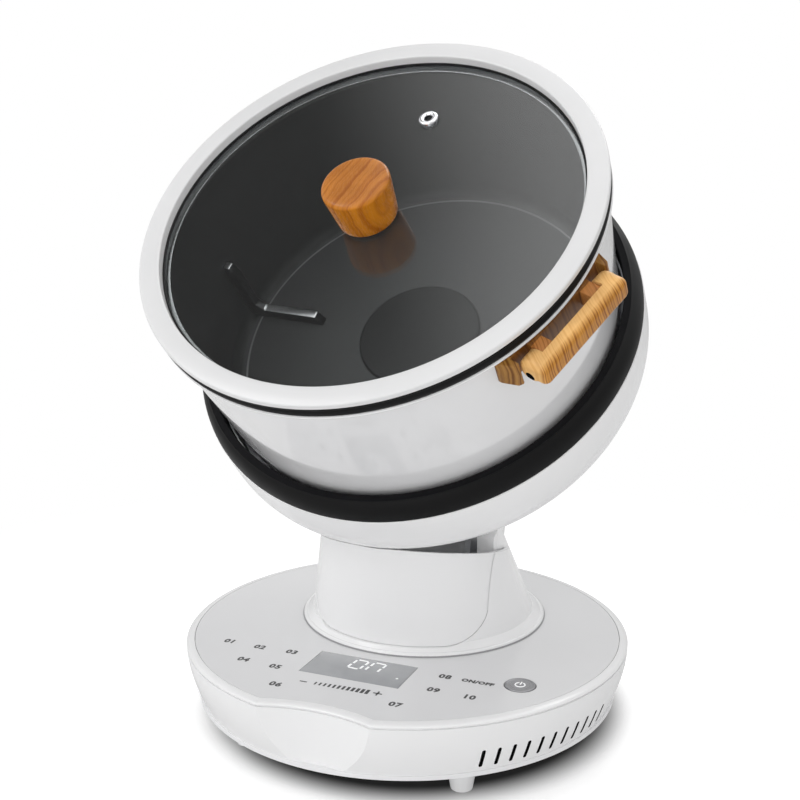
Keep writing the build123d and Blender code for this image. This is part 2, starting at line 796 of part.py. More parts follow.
def head_knuckle():
    """Cast block bolted under the bowl, bored for the tilt shaft."""
    plate_low = shell_floor - knuckle_plate
    near, far = -pivot_off_axis - 9, -pivot_off_axis + 34
    outline = make_face(Polyline((near, plate_low + 0.5), (far, plate_low + 0.5),
                                 (-pivot_off_axis + knuckle_round, pivot_depth),
                                 (-pivot_off_axis - knuckle_round, pivot_depth), close=True))
    outline += Pos(-pivot_off_axis, pivot_depth) * Circle(knuckle_round)
    body = side_plate(outline, -knuckle_half_width, knuckle_half_width)
    body += block((-28, 28), (near, far), (plate_low, shell_floor))
    body -= cross_rod(tilt_shaft_radius + slip_fit / 4, -60, 60, -pivot_off_axis, pivot_depth)
    return cut_all(body, [rod(bolt_radius + slip_fit / 2, shell_floor - 13, shell_floor + 1, x, y)
                          for x, y in knuckle_bolt_places])


def knuckle_bolts():
    """Bolts from inside the bowl down into the knuckle."""
    return group([rod(bolt_radius, shell_floor - 12, floor_inside, x, y)
                  + Pos(x, y, floor_inside) * extrude(RegularPolygon(bolt_head_width / 2, 6),
                                                      bolt_head_height)
                  for x, y in knuckle_bolt_places])


def head_bezel():
    """Dark ring between bowl and pot, rising inward."""
    outer = shell_radius - 0.5
    low = (outer, shell_top)
    high = (bezel_inner_radius + 2.6, bezel_top)
    middle = ((low[0] + high[0]) / 2 + 1.8, (low[1] + high[1]) / 2 + 1.6)
    skirt_outer = shell_radius - shell_wall - seam
    corners = [high, (bezel_inner_radius, bezel_top - 1.4), (bezel_inner_radius, bezel_bottom),
               (skirt_outer - 2, bezel_bottom), (skirt_outer - 2, shell_top - bezel_skirt),
               (skirt_outer, shell_top - bezel_skirt), (skirt_outer, shell_top), low]
    return turned_edges(ThreePointArc(low, middle, high), Polyline(*corners))


def heat_well():
    """Steel liner that keeps the pot's heat out of the bowl."""
    flange_outer = shell_radius - shell_wall - seam - 2.5
    wall_outer = bezel_inner_radius - 0.2
    well = turned((0, well_floor), (wall_outer, well_floor), (wall_outer, bezel_bottom - well_wall),
                  (flange_outer, bezel_bottom - well_wall), (flange_outer, bezel_bottom),
                  (0, bezel_bottom))
    inner = wall_outer - well_wall
    well -= turned((0, well_floor + well_wall), (inner, well_floor + well_wall), (inner, bezel_bottom + 1),
                   (0, bezel_bottom + 1))
    return well - rod(bearing_radius + 6, well_floor - 1, well_floor + 2)


heater_post_angles = (0, 90, 180, 270)
sensor_place = (0, heater_inner_radius + sensor_inset)
heater_middle = (heater_inner_radius + heater_outer_radius) / 2


def heater_plate():
    """Aluminium heating plate under the turning pot."""
    plate = tube(heater_outer_radius, heater_inner_radius, heater_top - heater_thickness, heater_top)
    x, y = sensor_place
    return plate - rod(sensor_radius + seam, heater_top - 9, heater_top + 1, x, y)


def heating_element():
    """Two sheathed rings under the plate, with their terminals."""
    z = heater_top - heater_thickness - element_radius
    rings = [Pos(0, 0, z) * Torus(radius, element_radius)
             for radius in (heater_inner_radius + element_inset, heater_outer_radius - element_inset / 2)]
    return group(rings)


def heater_posts():
    """Ceramic posts between the plate and the well."""
    return group(around(rod(heater_post_radius, well_floor + well_wall, heater_top - heater_thickness,
                            heater_middle), heater_post_angles))


def temperature_sensor():
    """Sensor cap that stands through the plate close to the pot."""
    x, y = sensor_place
    cap = rod(sensor_radius, well_floor + well_wall, heater_top + heater_gap - clear_gap, x, y)
    return fillet(cap.edges().group_by(Axis.Z)[-1], 1.5)


def motor_bracket():
    """Steel plate on the bowl's posts that carries bearings and gearmotor."""
    top = motor_plate_z + motor_plate
    plate = rod(motor_plate_radius, motor_plate_z, top) - rod(drive_shaft_radius + 4, motor_plate_z - 1, top + 1)
    return cut_all(plate, around(rod(screw_radius + slip_fit, motor_plate_z - 1, top + 1,
                                     motor_post_circle), motor_post_angles))


def bracket_screws():
    """Screws through the drive plate into the bowl's posts."""
    top = motor_plate_z + motor_plate
    screw = (rod(screw_radius, motor_plate_z - screw_length + 2, top, motor_post_circle)
             + rod(screw_head_radius, top, top + screw_head_height, motor_post_circle))
    return group(around(screw, motor_post_angles))


housing_low = motor_plate_z + motor_plate
housing_high = housing_low + 2 * bearing_width + 3


def bearing_housing():
    """Turned housing on the drive plate with a seat for each bearing."""
    outer = bearing_radius + 4
    body = rod(outer, housing_low, housing_high) + rod(outer + 9, housing_low, housing_low + 3)
    return body - rod(bearing_radius + slip_fit / 4, housing_low - 1, housing_high + 1)


def shaft_bearings():
    """Two ball bearings, each as one ring between shaft and housing."""
    return group([tube(bearing_radius, drive_shaft_radius + running_fit, z, z + bearing_width)
                  for z in (housing_low + 0.5, housing_low + 0.5 + bearing_spacing)])


def gearmotor():
    """Flat gearmotor hung under the drive plate, its output hollow."""
    low = motor_plate_z - gearmotor_height
    body = rod(gearmotor_radius, low, motor_plate_z)
    body += rod(20, low + 1, motor_plate_z - 2, 34, 0)
    return body - rod(drive_shaft_radius + running_fit, low + 4, motor_plate_z + 1)


def drive_shaft():
    """Shaft from the gearmotor up through both bearings into the hub."""
    return rod(drive_shaft_radius, motor_plate_z - gearmotor_height + 5, hub_top - 2)


def drive_hub():
    """Disc with three dogs and a centre spigot that turn the pot."""
    low = hub_top - hub_thickness
    hub = rod(hub_radius, low, hub_top) + rod(drive_shaft_radius + 5, housing_high + 1, low + 1)
    hub += rod(spigot_radius, low, hub_top + dog_height)
    hub = joined([hub] + around(rod(dog_radius, low, hub_top + dog_height, dog_circle), (90, 210, 330)))
    return hub - rod(drive_shaft_radius + slip_fit / 4, housing_high - 1, hub_top - 2)


# Pot
def pot_form(inset, top):
    """The pot's outside, or a solid inset from it, up to a height."""
    slope = (pot_rim_radius - pot_low_radius) / (pot_rim_top - pot_floor - pot_corner)
    radius_top = pot_low_radius + (top - pot_floor - pot_corner) * slope - inset
    low = pot_low_radius - inset
    start = pot_floor + pot_corner
    r = pot_corner - inset
    middle = (low - r + r * cos(pi / 4), start - r * sin(pi / 4))
    corner = ThreePointArc((low, start), middle, (low - r, pot_floor + inset))
    return turned_edges(Line((0, top), (radius_top, top)), Line((radius_top, top), (low, start)), corner,
                        Line((low - r, pot_floor + inset), (0, pot_floor + inset)),
                        Line((0, pot_floor + inset), (0, top)))


def pot_shell():
    """White steel pot with its rolled lip."""
    lip_low = pot_rim_top - pot_lip_thickness
    lip = rod(pot_lip_radius, lip_low, pot_rim_top)
    bead = Pos(0, 0, lip_low + pot_bead - 0.3) * Torus(pot_lip_radius - 0.6, pot_bead)
    shell = pot_form(0, pot_rim_top) + lip + bead
    shell -= rod(pot_lip_radius + 5, pot_rim_top, pot_rim_top + 5)
    shell -= pot_form(pot_steel, pot_rim_top + 1)
    return shell


def pot_liner():
    """Non-stick lining inside the pot."""
    return pot_form(pot_steel, pot_rim_top) - pot_form(pot_inside, pot_rim_top + 1)


def pot_coupling():
    """Drive plate under the pot, with sockets for the hub's dogs and spigot."""
    plate = rod(coupling_radius, coupling_under, pot_floor)
    plate -= rod(spigot_radius + seam, coupling_under - 1, coupling_under + dog_height + 0.6)
    return cut_all(plate, around(rod(dog_radius + seam, coupling_under - 1, coupling_under + dog_height + 0.6,
                                     dog_circle), (90, 210, 330)))


def drive_cap():
    """Low round cap over the drive, on the pot's floor."""
    cap = rod(cap_radius, cavity_floor, cavity_floor + cap_height)
    return fillet(cap.edges().group_by(Axis.Z)[-1], 1.6)


def stir_fins():
    """Two L-shaped fins that lift the food as the pot turns."""
    wall = pot_low_radius - pot_inside
    inner = wall - fin_ridge
    outline = make_face(Polyline((fin_start, cavity_floor - 1), (fin_start + 6, cavity_floor + fin_ridge),
                                 (inner - 6, cavity_floor + fin_ridge), (inner, cavity_floor + fin_ridge + 6),
                                 (inner + 1, fin_top - 8), (inner + 5, fin_top), (wall + 8, fin_top),
                                 (wall + 8, cavity_floor - 1), close=True))
    fin = extrude(Plane.XZ * outline, fin_width / 2, both=True) & pot_form(pot_inside, pot_rim_top)
    return group(around(fin, fin_angles))


def handle_bracket():
    """Wooden bracket against the pot's wall, with two lugs and wedge ends."""
    half = grip_half_length + 1
    arm_inside = grip_half_length - grip_arm - arm_gap
    deep = pot_low_radius - 30
    behind = bracket_face - bracket_behind_arm
    heights = (bracket_bottom, bracket_top)
    back = block((deep, bracket_face), (-arm_inside, arm_inside), heights)
    thin = block((deep, behind), (-half, half), heights)
    end = bracket_half_length
    wedge = make_face(Polyline((deep, half - 2), (behind, half - 2), (behind, half), (behind + 6, half),
                               (behind + 6.5, half + 1), (behind + 5, half + 3.5), (behind - 2, end - 1),
                               (behind - 5, end), (deep, end), close=True))
    wedge = extrude(Pos(0, 0, bracket_bottom) * wedge, bracket_top - bracket_bottom)
    lug = block((bracket_face - 1, grip_inner - lug_gap), (arm_inside - lug_width, arm_inside),
                (handle_pin_height - lug_below_pin, handle_pin_height + lug_above_pin))
    lug += handle_rod(lug_round, arm_inside - lug_width, arm_inside)
    parts = [back, thin, wedge, mirror(wedge, Plane.XZ), lug, mirror(lug, Plane.XZ)]
    body = joined(parts) - pot_form(0, pot_rim_top)
    hole = handle_rod(handle_pin_radius + slip_fit / 2, 0, 90)
    return body - hole - mirror(hole, Plane.XZ)


def handle_rod(radius, y0, y1, rise=0):
    """A cylinder along the handle's pin, or above it by a rise."""
    middle = Plane((handle_pin_out, y0, handle_pin_height + rise), x_dir=(1, 0, 0), z_dir=(0, 1, 0))
    return extrude(middle * Circle(radius), y1 - y0)


def handle_grip():
    """Wooden U-shaped grip, hinged on its pins."""
    low, high = handle_pin_height - grip_below_pin, handle_pin_height + grip_above_pin
    inner = grip_half_length - grip_arm
    bar = block((grip_inner, grip_outer), (-grip_half_length, grip_half_length), (low, high))
    arm = block((handle_pin_out, grip_outer), (inner, grip_half_length), (low, high))
    arm += handle_rod(arm_round, inner, grip_half_length, arm_rise) & block(
        (handle_pin_out - arm_round - 1, grip_outer), (inner, grip_half_length), (low, high))
    body = joined([bar, arm, mirror(arm, Plane.XZ)])
    outer_edges = body.edges().filter_by(Axis.Y).group_by(Axis.X)[-1]
    body = fillet(outer_edges, grip_edge)
    hole = handle_rod(handle_pin_radius + running_fit, -90, 90)
    relief = handle_rod(lug_round + lug_gap, inner - arm_gap - lug_width - lug_gap, inner)
    return body - hole - relief - mirror(relief, Plane.XZ)


def pins_of_one_handle():
    """Two short pins, each through a lug and one arm of the grip."""
    pin = handle_rod(handle_pin_radius, grip_half_length - grip_arm - lug_width, grip_half_length - 3)
    return [pin, mirror(pin, Plane.XZ)]


def handle_pins():
    """The pins of both handles."""
    return group([Rot(0, 0, angle) * pin for angle in handle_angles.values()
                  for pin in pins_of_one_handle()])


def folded(shape):
    """The shape swung down about the handle's pin."""
    about_pin = Pos(handle_pin_out, 0, handle_pin_height)
    return about_pin * (Rot(0, handle_fold, 0) * (Pos(-handle_pin_out, 0, -handle_pin_height) * shape))


# Lid
def lid_rim():
    """Pearl-white ring that carries the glass."""
    ring = turned((lid_window_radius, -glass_edge_drop + seam), (lid_window_radius, 0), (lid_radius, 0),
                  (lid_radius, -lid_rim_thickness), (glass_radius + 0.5, -lid_rim_thickness),
                  (glass_radius + 0.5, -glass_edge_drop + seam))
    return fillet(ring.edges().group_by(Axis.Z)[-1], 1.2)


def lid_seal():
    """Black silicone ring between rim and pot lip."""
    return tube(lid_radius - 0.2, band_radius + 0.3, -lid_rim_thickness - seal_thickness, -lid_rim_thickness)


def lid_band():
    """Steel band under the rim that holds the glass from below."""
    inner = band_radius - band_steel
    lip_in = glass_radius - band_lip
    return turned((band_radius, -lid_rim_thickness), (band_radius, band_bottom), (lip_in, band_bottom),
                  (lip_in, band_bottom + band_steel), (inner, band_bottom + band_steel),
                  (inner, -lid_rim_thickness))


glass_middle = -glass_edge_drop - glass_dish


def lid_glass():
    """Tempered glass, dished a little towards the pot."""
    def face_arc(drop, start, end):
        middle = (glass_radius / 2, -glass_edge_drop - drop - glass_dish * 0.75)
        return ThreePointArc(start, middle, end)
    edge, low = -glass_edge_drop, -glass_thickness
    glass = turned_edges(face_arc(0, (0, glass_middle), (glass_radius, edge)),
                         Line((glass_radius, edge), (glass_radius, edge + low)),
                         face_arc(glass_thickness, (glass_radius, edge + low), (0, glass_middle + low)),
                         Line((0, glass_middle + low), (0, glass_middle)))
    glass -= rod(knob_screw_radius + slip_fit, -30, 0)
    x, y = vent_place
    return glass - rod(vent_hole_radius + 1 + slip_fit, -30, 0, x, y)


vent_place = (vent_radius * cos(radians(vent_angle)), vent_radius * sin(radians(vent_angle)))
vent_share = (vent_radius / glass_radius) ** 2
vent_glass_z = glass_middle + glass_dish * vent_share


def vent_eyelet():
    """Chrome steam vent riveted through the glass."""
    x, y = vent_place
    low, high = vent_glass_z - glass_thickness - 1.6, vent_glass_z + 1.8
    eyelet = rod(vent_eyelet_radius, vent_glass_z + 0.4, high, x, y)
    eyelet = fillet(eyelet.edges().group_by(Axis.Z)[-1], 0.9)
    eyelet += rod(vent_hole_radius + 1, low, vent_glass_z + 1, x, y)
    eyelet += rod(vent_eyelet_radius - 1, low, vent_glass_z - glass_thickness - 0.4, x, y)
    return eyelet - rod(vent_hole_radius, low - 1, high + 1, x, y)


knob_base = glass_middle + knob_washer


def knob():
    """Wooden knob, wider at the top."""
    top = knob_base + knob_height
    body = turned((0, knob_base), (knob_base_radius, knob_base), (knob_top_radius, top), (0, top))
    body = fillet(body.edges().group_by(Axis.Z)[-1], 2.5)
    return body - rod(knob_screw_radius + slip_fit / 2, knob_base - 1, knob_base + 14)


def knob_screw():
    """Screw, lower washer and upper washer that clamp the knob to the glass."""
    under = glass_middle - glass_thickness
    screw = rod(knob_screw_radius, under - 1.2, knob_base + 12) + rod(5.5, under - 4.2, under - 1.2)
    lower = tube(13, knob_screw_radius + slip_fit, under - 1.2, under)
    upper = tube(knob_base_radius - 1.5, knob_screw_radius + slip_fit, glass_middle + 0.05, knob_base)
    return group([screw, lower, upper])


base_nodes = {
    "base_pan": base_pan, "base_shell": base_shell, "top_panel": top_panel,
    "display_window": display_window, "display_module": display_module, "control_board": control_board,
    "touch_pads": touch_pads, "power_button": power_button, "power_switch": power_switch,
    "power_board": power_board, "fan_housing": fan_housing, "fan_impeller": fan_impeller,
    "power_inlet": power_inlet, "inlet_pins": inlet_pins, "case_screws": case_screws,
    "pedestal_body": pedestal_body,
    "pedestal_front_cover": pedestal_front_cover,
    "tilt_bracket": tilt_bracket, "bracket_bolts": bracket_bolts, "tilt_bushes": tilt_bushes,
    "tilt_shaft": tilt_shaft, "shaft_clips": shaft_clips, "friction_washers": friction_washers,
}
head_nodes = {
    "head_shell": head_shell, "head_knuckle": head_knuckle, "knuckle_bolts": knuckle_bolts,
    "head_bezel": head_bezel, "heat_well": heat_well, "heater_plate": heater_plate,
    "heating_element": heating_element, "heater_posts": heater_posts,
    "temperature_sensor": temperature_sensor, "motor_bracket": motor_bracket,
    "bracket_screws": bracket_screws, "bearing_housing": bearing_housing,
    "shaft_bearings": shaft_bearings, "gearmotor": gearmotor, "drive_shaft": drive_shaft,
    "drive_hub": drive_hub, "pot_shell": pot_shell, "pot_liner": pot_liner,
    "pot_coupling": pot_coupling, "drive_cap": drive_cap, "stir_fins": stir_fins,
    "handle_pins": handle_pins, "lid_rim": lid_rim, "lid_seal": lid_seal, "lid_band": lid_band,
    "lid_glass": lid_glass, "vent_eyelet": vent_eyelet, "knob": knob, "knob_screw": knob_screw,
}

os.makedirs("parts", exist_ok=True)
for name, make in base_nodes.items():
    export_step(make(), f"parts/{name}.step")
for name, make in head_nodes.items():
    export_step(make().moved(head), f"parts/{name}.step")
for name, (x, y) in zip(["front_left", "rear_left", "front_right", "rear_right"], foot_places):
    export_step(foot(x, y), f"parts/foot_{name}.step")
for side, angle in handle_angles.items():
    turn = Rot(0, 0, angle)
    grip = handle_grip() if side == "right" else folded(handle_grip())
    export_step((turn * handle_bracket()).moved(head), f"parts/handle_bracket_{side}.step")
    export_step((turn * grip).moved(head), f"parts/handle_grip_{side}.step")
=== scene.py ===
import math
import bpy
from mathutils import Matrix, Vector


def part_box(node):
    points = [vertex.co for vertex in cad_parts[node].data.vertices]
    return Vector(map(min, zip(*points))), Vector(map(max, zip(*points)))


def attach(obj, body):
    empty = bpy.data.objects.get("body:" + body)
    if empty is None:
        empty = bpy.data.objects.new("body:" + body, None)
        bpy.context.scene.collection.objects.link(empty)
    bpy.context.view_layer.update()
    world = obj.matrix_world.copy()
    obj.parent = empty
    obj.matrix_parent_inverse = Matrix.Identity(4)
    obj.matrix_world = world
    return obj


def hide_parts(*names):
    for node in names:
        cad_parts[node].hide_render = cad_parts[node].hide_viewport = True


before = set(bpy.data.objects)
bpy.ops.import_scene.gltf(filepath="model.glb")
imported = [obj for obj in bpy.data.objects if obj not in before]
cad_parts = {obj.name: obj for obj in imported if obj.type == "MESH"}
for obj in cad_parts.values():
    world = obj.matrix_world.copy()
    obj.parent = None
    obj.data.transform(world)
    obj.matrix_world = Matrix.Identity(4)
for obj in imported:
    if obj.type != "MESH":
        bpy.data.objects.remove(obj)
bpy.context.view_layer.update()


# The camera stands where the photograph was taken from, in front of the cooker and to its right,
# with a long lens that looks slightly down on the round base.
bpy.ops.object.select_all(action="DESELECT")
bpy.ops.object.camera_add(location=(0.2972, -0.7231, 0.3743))
camera = bpy.context.object
camera.name = "camera_front_right"
camera.data.lens = 52.06
looked_at = Vector((-0.0046, -0.0019, 0.2235))
camera.rotation_euler = (looked_at - camera.location).to_track_quat("-Z", "Y").to_euler()
bpy.context.scene.camera = camera


# Four feet: a slim white plastic cone on a stud, with a thin grey rubber disc pressed into its lower
# end. They are turned pieces, so the lathe and the edge rounding start here.
MM = 0.001


def pick(*pieces):
    """Leaves only these pieces selected, the last one active."""
    bpy.ops.object.select_all(action="DESELECT")
    for piece in pieces:
        piece.select_set(True)
    bpy.context.view_layer.objects.active = pieces[-1]


def turn(name, outline, steps=128):
    """Lathe work: an outline of (radius, height) in millimetres, spun about the Z axis."""
    bpy.ops.object.select_all(action="DESELECT")
    bpy.ops.mesh.primitive_circle_add(vertices=3, radius=MM)
    piece = bpy.context.object
    piece.name = name
    bpy.ops.object.mode_set(mode="EDIT")
    bpy.ops.mesh.merge(type="CENTER")
    at = (0, 0)
    for number, (r, z) in enumerate(outline):
        move = {"value": ((r - at[0]) * MM, 0, (z - at[1]) * MM)}
        if number == 0:
            bpy.ops.transform.translate(**move)
        else:
            bpy.ops.mesh.extrude_region_move(TRANSFORM_OT_translate=move)
        at = (r, z)
    bpy.ops.mesh.select_all(action="SELECT")
    bpy.ops.mesh.spin(steps=steps, angle=math.tau, center=(0, 0, 0), axis=(0, 0, 1))
    bpy.ops.mesh.select_all(action="SELECT")
    bpy.ops.mesh.remove_doubles(threshold=MM / 500)
    bpy.ops.mesh.normals_make_consistent(inside=False)
    bpy.ops.object.mode_set(mode="OBJECT")
    return piece


def soften(piece, width, angle=30, segments=3):
    """Rounds each edge sharper than the angle, then shades the piece smooth."""
    pick(piece)
    if width:
        edges = piece.modifiers.new("edges", "BEVEL")
        edges.width = width * MM
        edges.segments = segments
        edges.limit_method = "ANGLE"
        edges.angle_limit = math.radians(angle)
        edges.use_clamp_overlap = True
        bpy.ops.object.modifier_apply(modifier="edges")
    bpy.ops.object.shade_smooth_by_angle(angle=math.radians(angle))
    return piece


def even(piece):
    """Lets the large faces set the shading of a piece that was carved."""
    pick(piece)
    shading = piece.modifiers.new("shading", "WEIGHTED_NORMAL")
    shading.keep_sharp = True
    bpy.ops.object.modifier_apply(modifier="shading")
    return piece


def settle(piece, place=None):
    """Puts the piece at its place and leaves that place in its mesh."""
    pick(piece)
    if place is not None:
        piece.matrix_world = place
    bpy.ops.object.transform_apply(location=True, rotation=True, scale=True)
    return piece


def fit(piece, body, slot, finish, *nodes):
    """Paints a finished piece, sets it on its body and lets it stand for CAD nodes."""
    if finish:
        piece.data.materials.clear()
        piece.data.materials.append(finish)
    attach(piece, body)
    if nodes:
        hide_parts(*nodes)
    return piece


def add(tree, kind, sockets=None, **settings):
    """A shader node with its settings, and its sockets filled or wired."""
    node = tree.nodes.new("ShaderNode" + kind)
    for key, value in settings.items():
        setattr(node, key, value)
    for socket, value in (sockets or {}).items():
        if isinstance(value, bpy.types.NodeSocket):
            tree.links.new(value, node.inputs[socket])
        else:
            node.inputs[socket].default_value = value
    return node


def start_finish(name, colour, roughness, **shine):
    """A material with its shader set, and the piece's own coordinates."""
    finish = bpy.data.materials.new(name)
    finish.use_nodes = True
    tree = finish.node_tree
    shader = tree.nodes["Principled BSDF"]
    shader.inputs["Base Color"].default_value = (*colour, 1)
    shader.inputs["Roughness"].default_value = roughness
    for socket, value in shine.items():
        shader.inputs[socket.replace("_", " ")].default_value = value
    return finish, tree, shader, add(tree, "TexCoord").outputs["Object"]


def shades(tree, coords, scale, dark, light, low=0.3, high=0.7, detail=4):
    """Noise that runs between two colours."""
    noise = add(tree, "TexNoise", {"Vector": coords, "Scale": scale, "Detail": detail})
    ramp = add(tree, "ValToRGB", {"Fac": noise.outputs["Fac"]})
    for stop, place, colour in zip(ramp.color_ramp.elements, (low, high), (dark, light)):
        stop.position = place
        stop.color = (*colour, 1)
    return ramp.outputs["Color"]


def spread(tree, value, low, high):
    """A 0 to 1 value stretched between two others."""
    return add(tree, "MapRange", {"Value": value, "To Min": low, "To Max": high}).outputs["Result"]


def moulded(name, colour, roughness, grain=0.05, drift=0.02, **shine):
    """Injection-moulded plastic: a faint drift of shade, uneven gloss and a fine skin."""
    finish, tree, shader, coords = start_finish(name, colour, roughness, **shine)
    dark = [c * (1 - drift) for c in colour]
    tree.links.new(shades(tree, coords, 9, dark, colour), shader.inputs["Base Color"])
    patches = add(tree, "TexNoise", {"Vector": coords, "Scale": 55, "Detail": 5})
    tree.links.new(spread(tree, patches.outputs["Fac"], roughness * 0.75, roughness * 1.3),
                   shader.inputs["Roughness"])
    skin = add(tree, "TexNoise", {"Vector": coords, "Scale": 1500, "Detail": 2})
    bump = add(tree, "Bump", {"Height": skin.outputs["Fac"], "Strength": grain, "Distance": 0.0002})
    tree.links.new(bump.outputs["Normal"], shader.inputs["Normal"])
    return finish


white_plastic = moulded("gloss_white_plastic", (0.9, 0.9, 0.905), 0.2, Coat_Weight=0.3,
                        Coat_Roughness=0.08)
grey_rubber = moulded("grey_rubber", (0.33, 0.33, 0.34), 0.62, grain=0.25)
foot_outline = [(0, 0.5), (5.2, 0.5), (5.6, 0), (6.5, 0), (7.0, 0.5), (9.9, 17.6), (9.5, 17.9), (9.5, 18.4),
                (10.1, 18.7), (10.2, 20.2), (4, 20.2), (4, 24.2), (0, 24.2)]
tread_top = 0.6 * MM
for place in ("front_left", "front_right", "rear_left", "rear_right"):
    low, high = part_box(f"foot_{place}")
    foot = soften(turn(f"foot_cone_{place}", foot_outline, 64), 0.15)
    settle(foot, Matrix.Translation(((low.x + high.x) / 2, (low.y + high.y) / 2, 0)))
    fit(foot, "base", "white_plastic", white_plastic, f"foot_{place}")
    foot.data.materials.append(grey_rubber)
    for face in foot.data.polygons:
        face.material_index = 1 if face.center.z < tread_top and face.normal.z < -0.9 else 0


# Base pan and its fasteners: a round white plastic plate whose rim shows as a thin band under the
# side wall, zinc-plated screws, and the steel yoke's bolts and nuts standing through it.
def paint_nodes(finish, *names):
    """Gives carried-over CAD nodes their finish."""
    for name in names:
        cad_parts[name].data.materials.clear()
        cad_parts[name].data.materials.append(finish)


def bare_metal(name, colour, roughness, scratches=0.3, streak=(1, 1, 40)):
    """Plain metal with fine streaks in its gloss, drawn along one axis."""
    finish, tree, shader, coords = start_finish(name, colour, roughness, Metallic=1)
    along = add(tree, "Mapping", {"Vector": coords, "Scale": streak})
    lines = add(tree, "TexNoise", {"Vector": along.outputs["Vector"], "Scale": 180, "Detail": 6})
    tree.links.new(spread(tree, lines.outputs["Fac"], roughness * 0.6, roughness * 1.5),
                   shader.inputs["Roughness"])
    dull = [c * 0.86 for c in colour]
    tree.links.new(shades(tree, along.outputs["Vector"], 60, dull, colour), shader.inputs["Base Color"])
    bump = add(tree, "Bump", {"Height": lines.outputs["Fac"], "Strength": scratches,
                              "Distance": 0.00005})
    tree.links.new(bump.outputs["Normal"], shader.inputs["Normal"])
    return finish


def rework(name, node, edge, angle=25, segments=3):
    """A merged copy of a CAD solid with its sharp edges rounded."""
    piece = bpy.data.objects.new(name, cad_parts[node].data.copy())
    bpy.context.scene.collection.objects.link(piece)
    pick(piece)
    bpy.ops.mesh.customdata_custom_splitnormals_clear()
    bpy.ops.object.mode_set(mode="EDIT")
    bpy.ops.mesh.select_all(action="SELECT")
    bpy.ops.mesh.remove_doubles(threshold=MM / 500)
    bpy.ops.mesh.dissolve_limited(angle_limit=math.radians(0.5))
    bpy.ops.object.mode_set(mode="OBJECT")
    return soften(piece, edge, angle, segments)


zinc = bare_metal("zinc_plated_steel", (0.62, 0.63, 0.65), 0.32)
pan_white = moulded("pan_white_plastic", (0.86, 0.86, 0.87), 0.36, grain=0.2)
fit(rework("base_pan_plate", "base_pan", 0.7), "base", "white_plastic", pan_white, "base_pan")
paint_nodes(zinc, "case_screws", "bracket_bolts")


# Side wall of the base: one white moulding that tapers towards the table, with a sloped lip round
# its top, a parting groove under the lip, a scooped front and eleven slanted vents at the right.
def arc(centre, radii, start, end, steps):
    """Points of an elliptic arc in an outline, from one angle to another in degrees."""
    angles = [math.radians(start + (end - start) * i / steps) for i in range(steps + 1)]
    return [(centre[0] + radii[0] * math.cos(a), centre[1] + radii[1] * math.sin(a)) for a in angles]


def carve(piece, tool, operation="DIFFERENCE"):
    """Cuts a tool out of the piece, or joins the two, and takes the tool away."""
    pick(piece)
    saw = piece.modifiers.new("saw", "BOOLEAN")
    saw.operation = operation
    saw.solver = "EXACT"
    saw.object = tool
    bpy.ops.object.modifier_apply(modifier="saw")
    bpy.data.objects.remove(tool, do_unlink=True)
    return piece


def slab(x, y, z, name="slab"):
    """A squared block between two limits on each axis, in millimetres."""
    bpy.ops.object.select_all(action="DESELECT")
    middle = [(a + b) / 2 * MM for a, b in (x, y, z)]
    size = [(b - a) * MM for a, b in (x, y, z)]
    bpy.ops.mesh.primitive_cube_add(size=1, location=middle, scale=size)
    block = bpy.context.object
    block.name = name
    return settle(block)


def rod(radius, low, high, x=0, y=0, steps=96, name="rod"):
    """An upright round bar, in millimetres."""
    bpy.ops.object.select_all(action="DESELECT")
    bpy.ops.mesh.primitive_cylinder_add(vertices=steps, radius=radius * MM, depth=(high - low) * MM,
                                        location=(x * MM, y * MM, (low + high) / 2 * MM))
    bar = bpy.context.object
    bar.name = name
    return settle(bar)


wall_low, lip_low, panel_top = 23.0, 58.5, 60.0
wall_foot_r, wall_top_r = 146, 155
scoop_y = -251.4
side = [(wall_foot_r + (wall_top_r - wall_foot_r) * math.sin(i / 10 * math.pi / 2),
         wall_low + (lip_low - wall_low) * i / 10) for i in range(10)]
groove = [(154.95, 56.5), (153.8, 56.7), (153.8, 57.6), (155, 57.8)]
lip = [(155, 58.1)] + arc((149.5, 57.9), (5.4, 2.1), 20, 90, 6)
wall = turn("base_side_wall", [(0, wall_low)] + side + groove + lip + [(0, panel_top)], 200)
scoop = turn("scoop", [(0, 10), (108, 10), (108, 56.5), (109.2, 56.7), (109.2, 57.6), (108, 57.8),
                       (108, 58.3), (108.6, 59.0), (110, 59.6), (111.8, 59.9), (113.6, 60.02),
                       (124, 61.5), (0, 61.5)], 240)
carve(wall, settle(scoop, Matrix.Translation((0, scoop_y * MM, 0))))
room = turn("room", [(0, 19)] + [(r - 3, z - 0.5) for r, z in side[:9]] + [(151, 54.5), (0, 54.5)], 96)
carve(wall, carve(room, rod(111, 15, 60, y=scoop_y)))
carve(wall, carve(rod(149.5, 57, 62, steps=200), rod(113.5, 50, 70, y=scoop_y, steps=240)))
carve(wall, carve(rod(139, 53, 62), rod(124, 50, 70, y=scoop_y)))
# Near-black matte plastic laid where only shade falls: painted shade in the vents, on the bezel's step and
# in the grips' pin holes.
painted_shade_black = moulded("painted_shade_plastic", (0.006, 0.006, 0.007), 0.7, Specular_IOR_Level=0.1)
for finish in (white_plastic, painted_shade_black):
    wall.data.materials.append(finish)
vent_count, vent_first, vent_pitch, vent_lean = 11, 39.9, 3.93, 4
vent_width, vent_height, vent_middle = 2.5, 13.0, 32.5
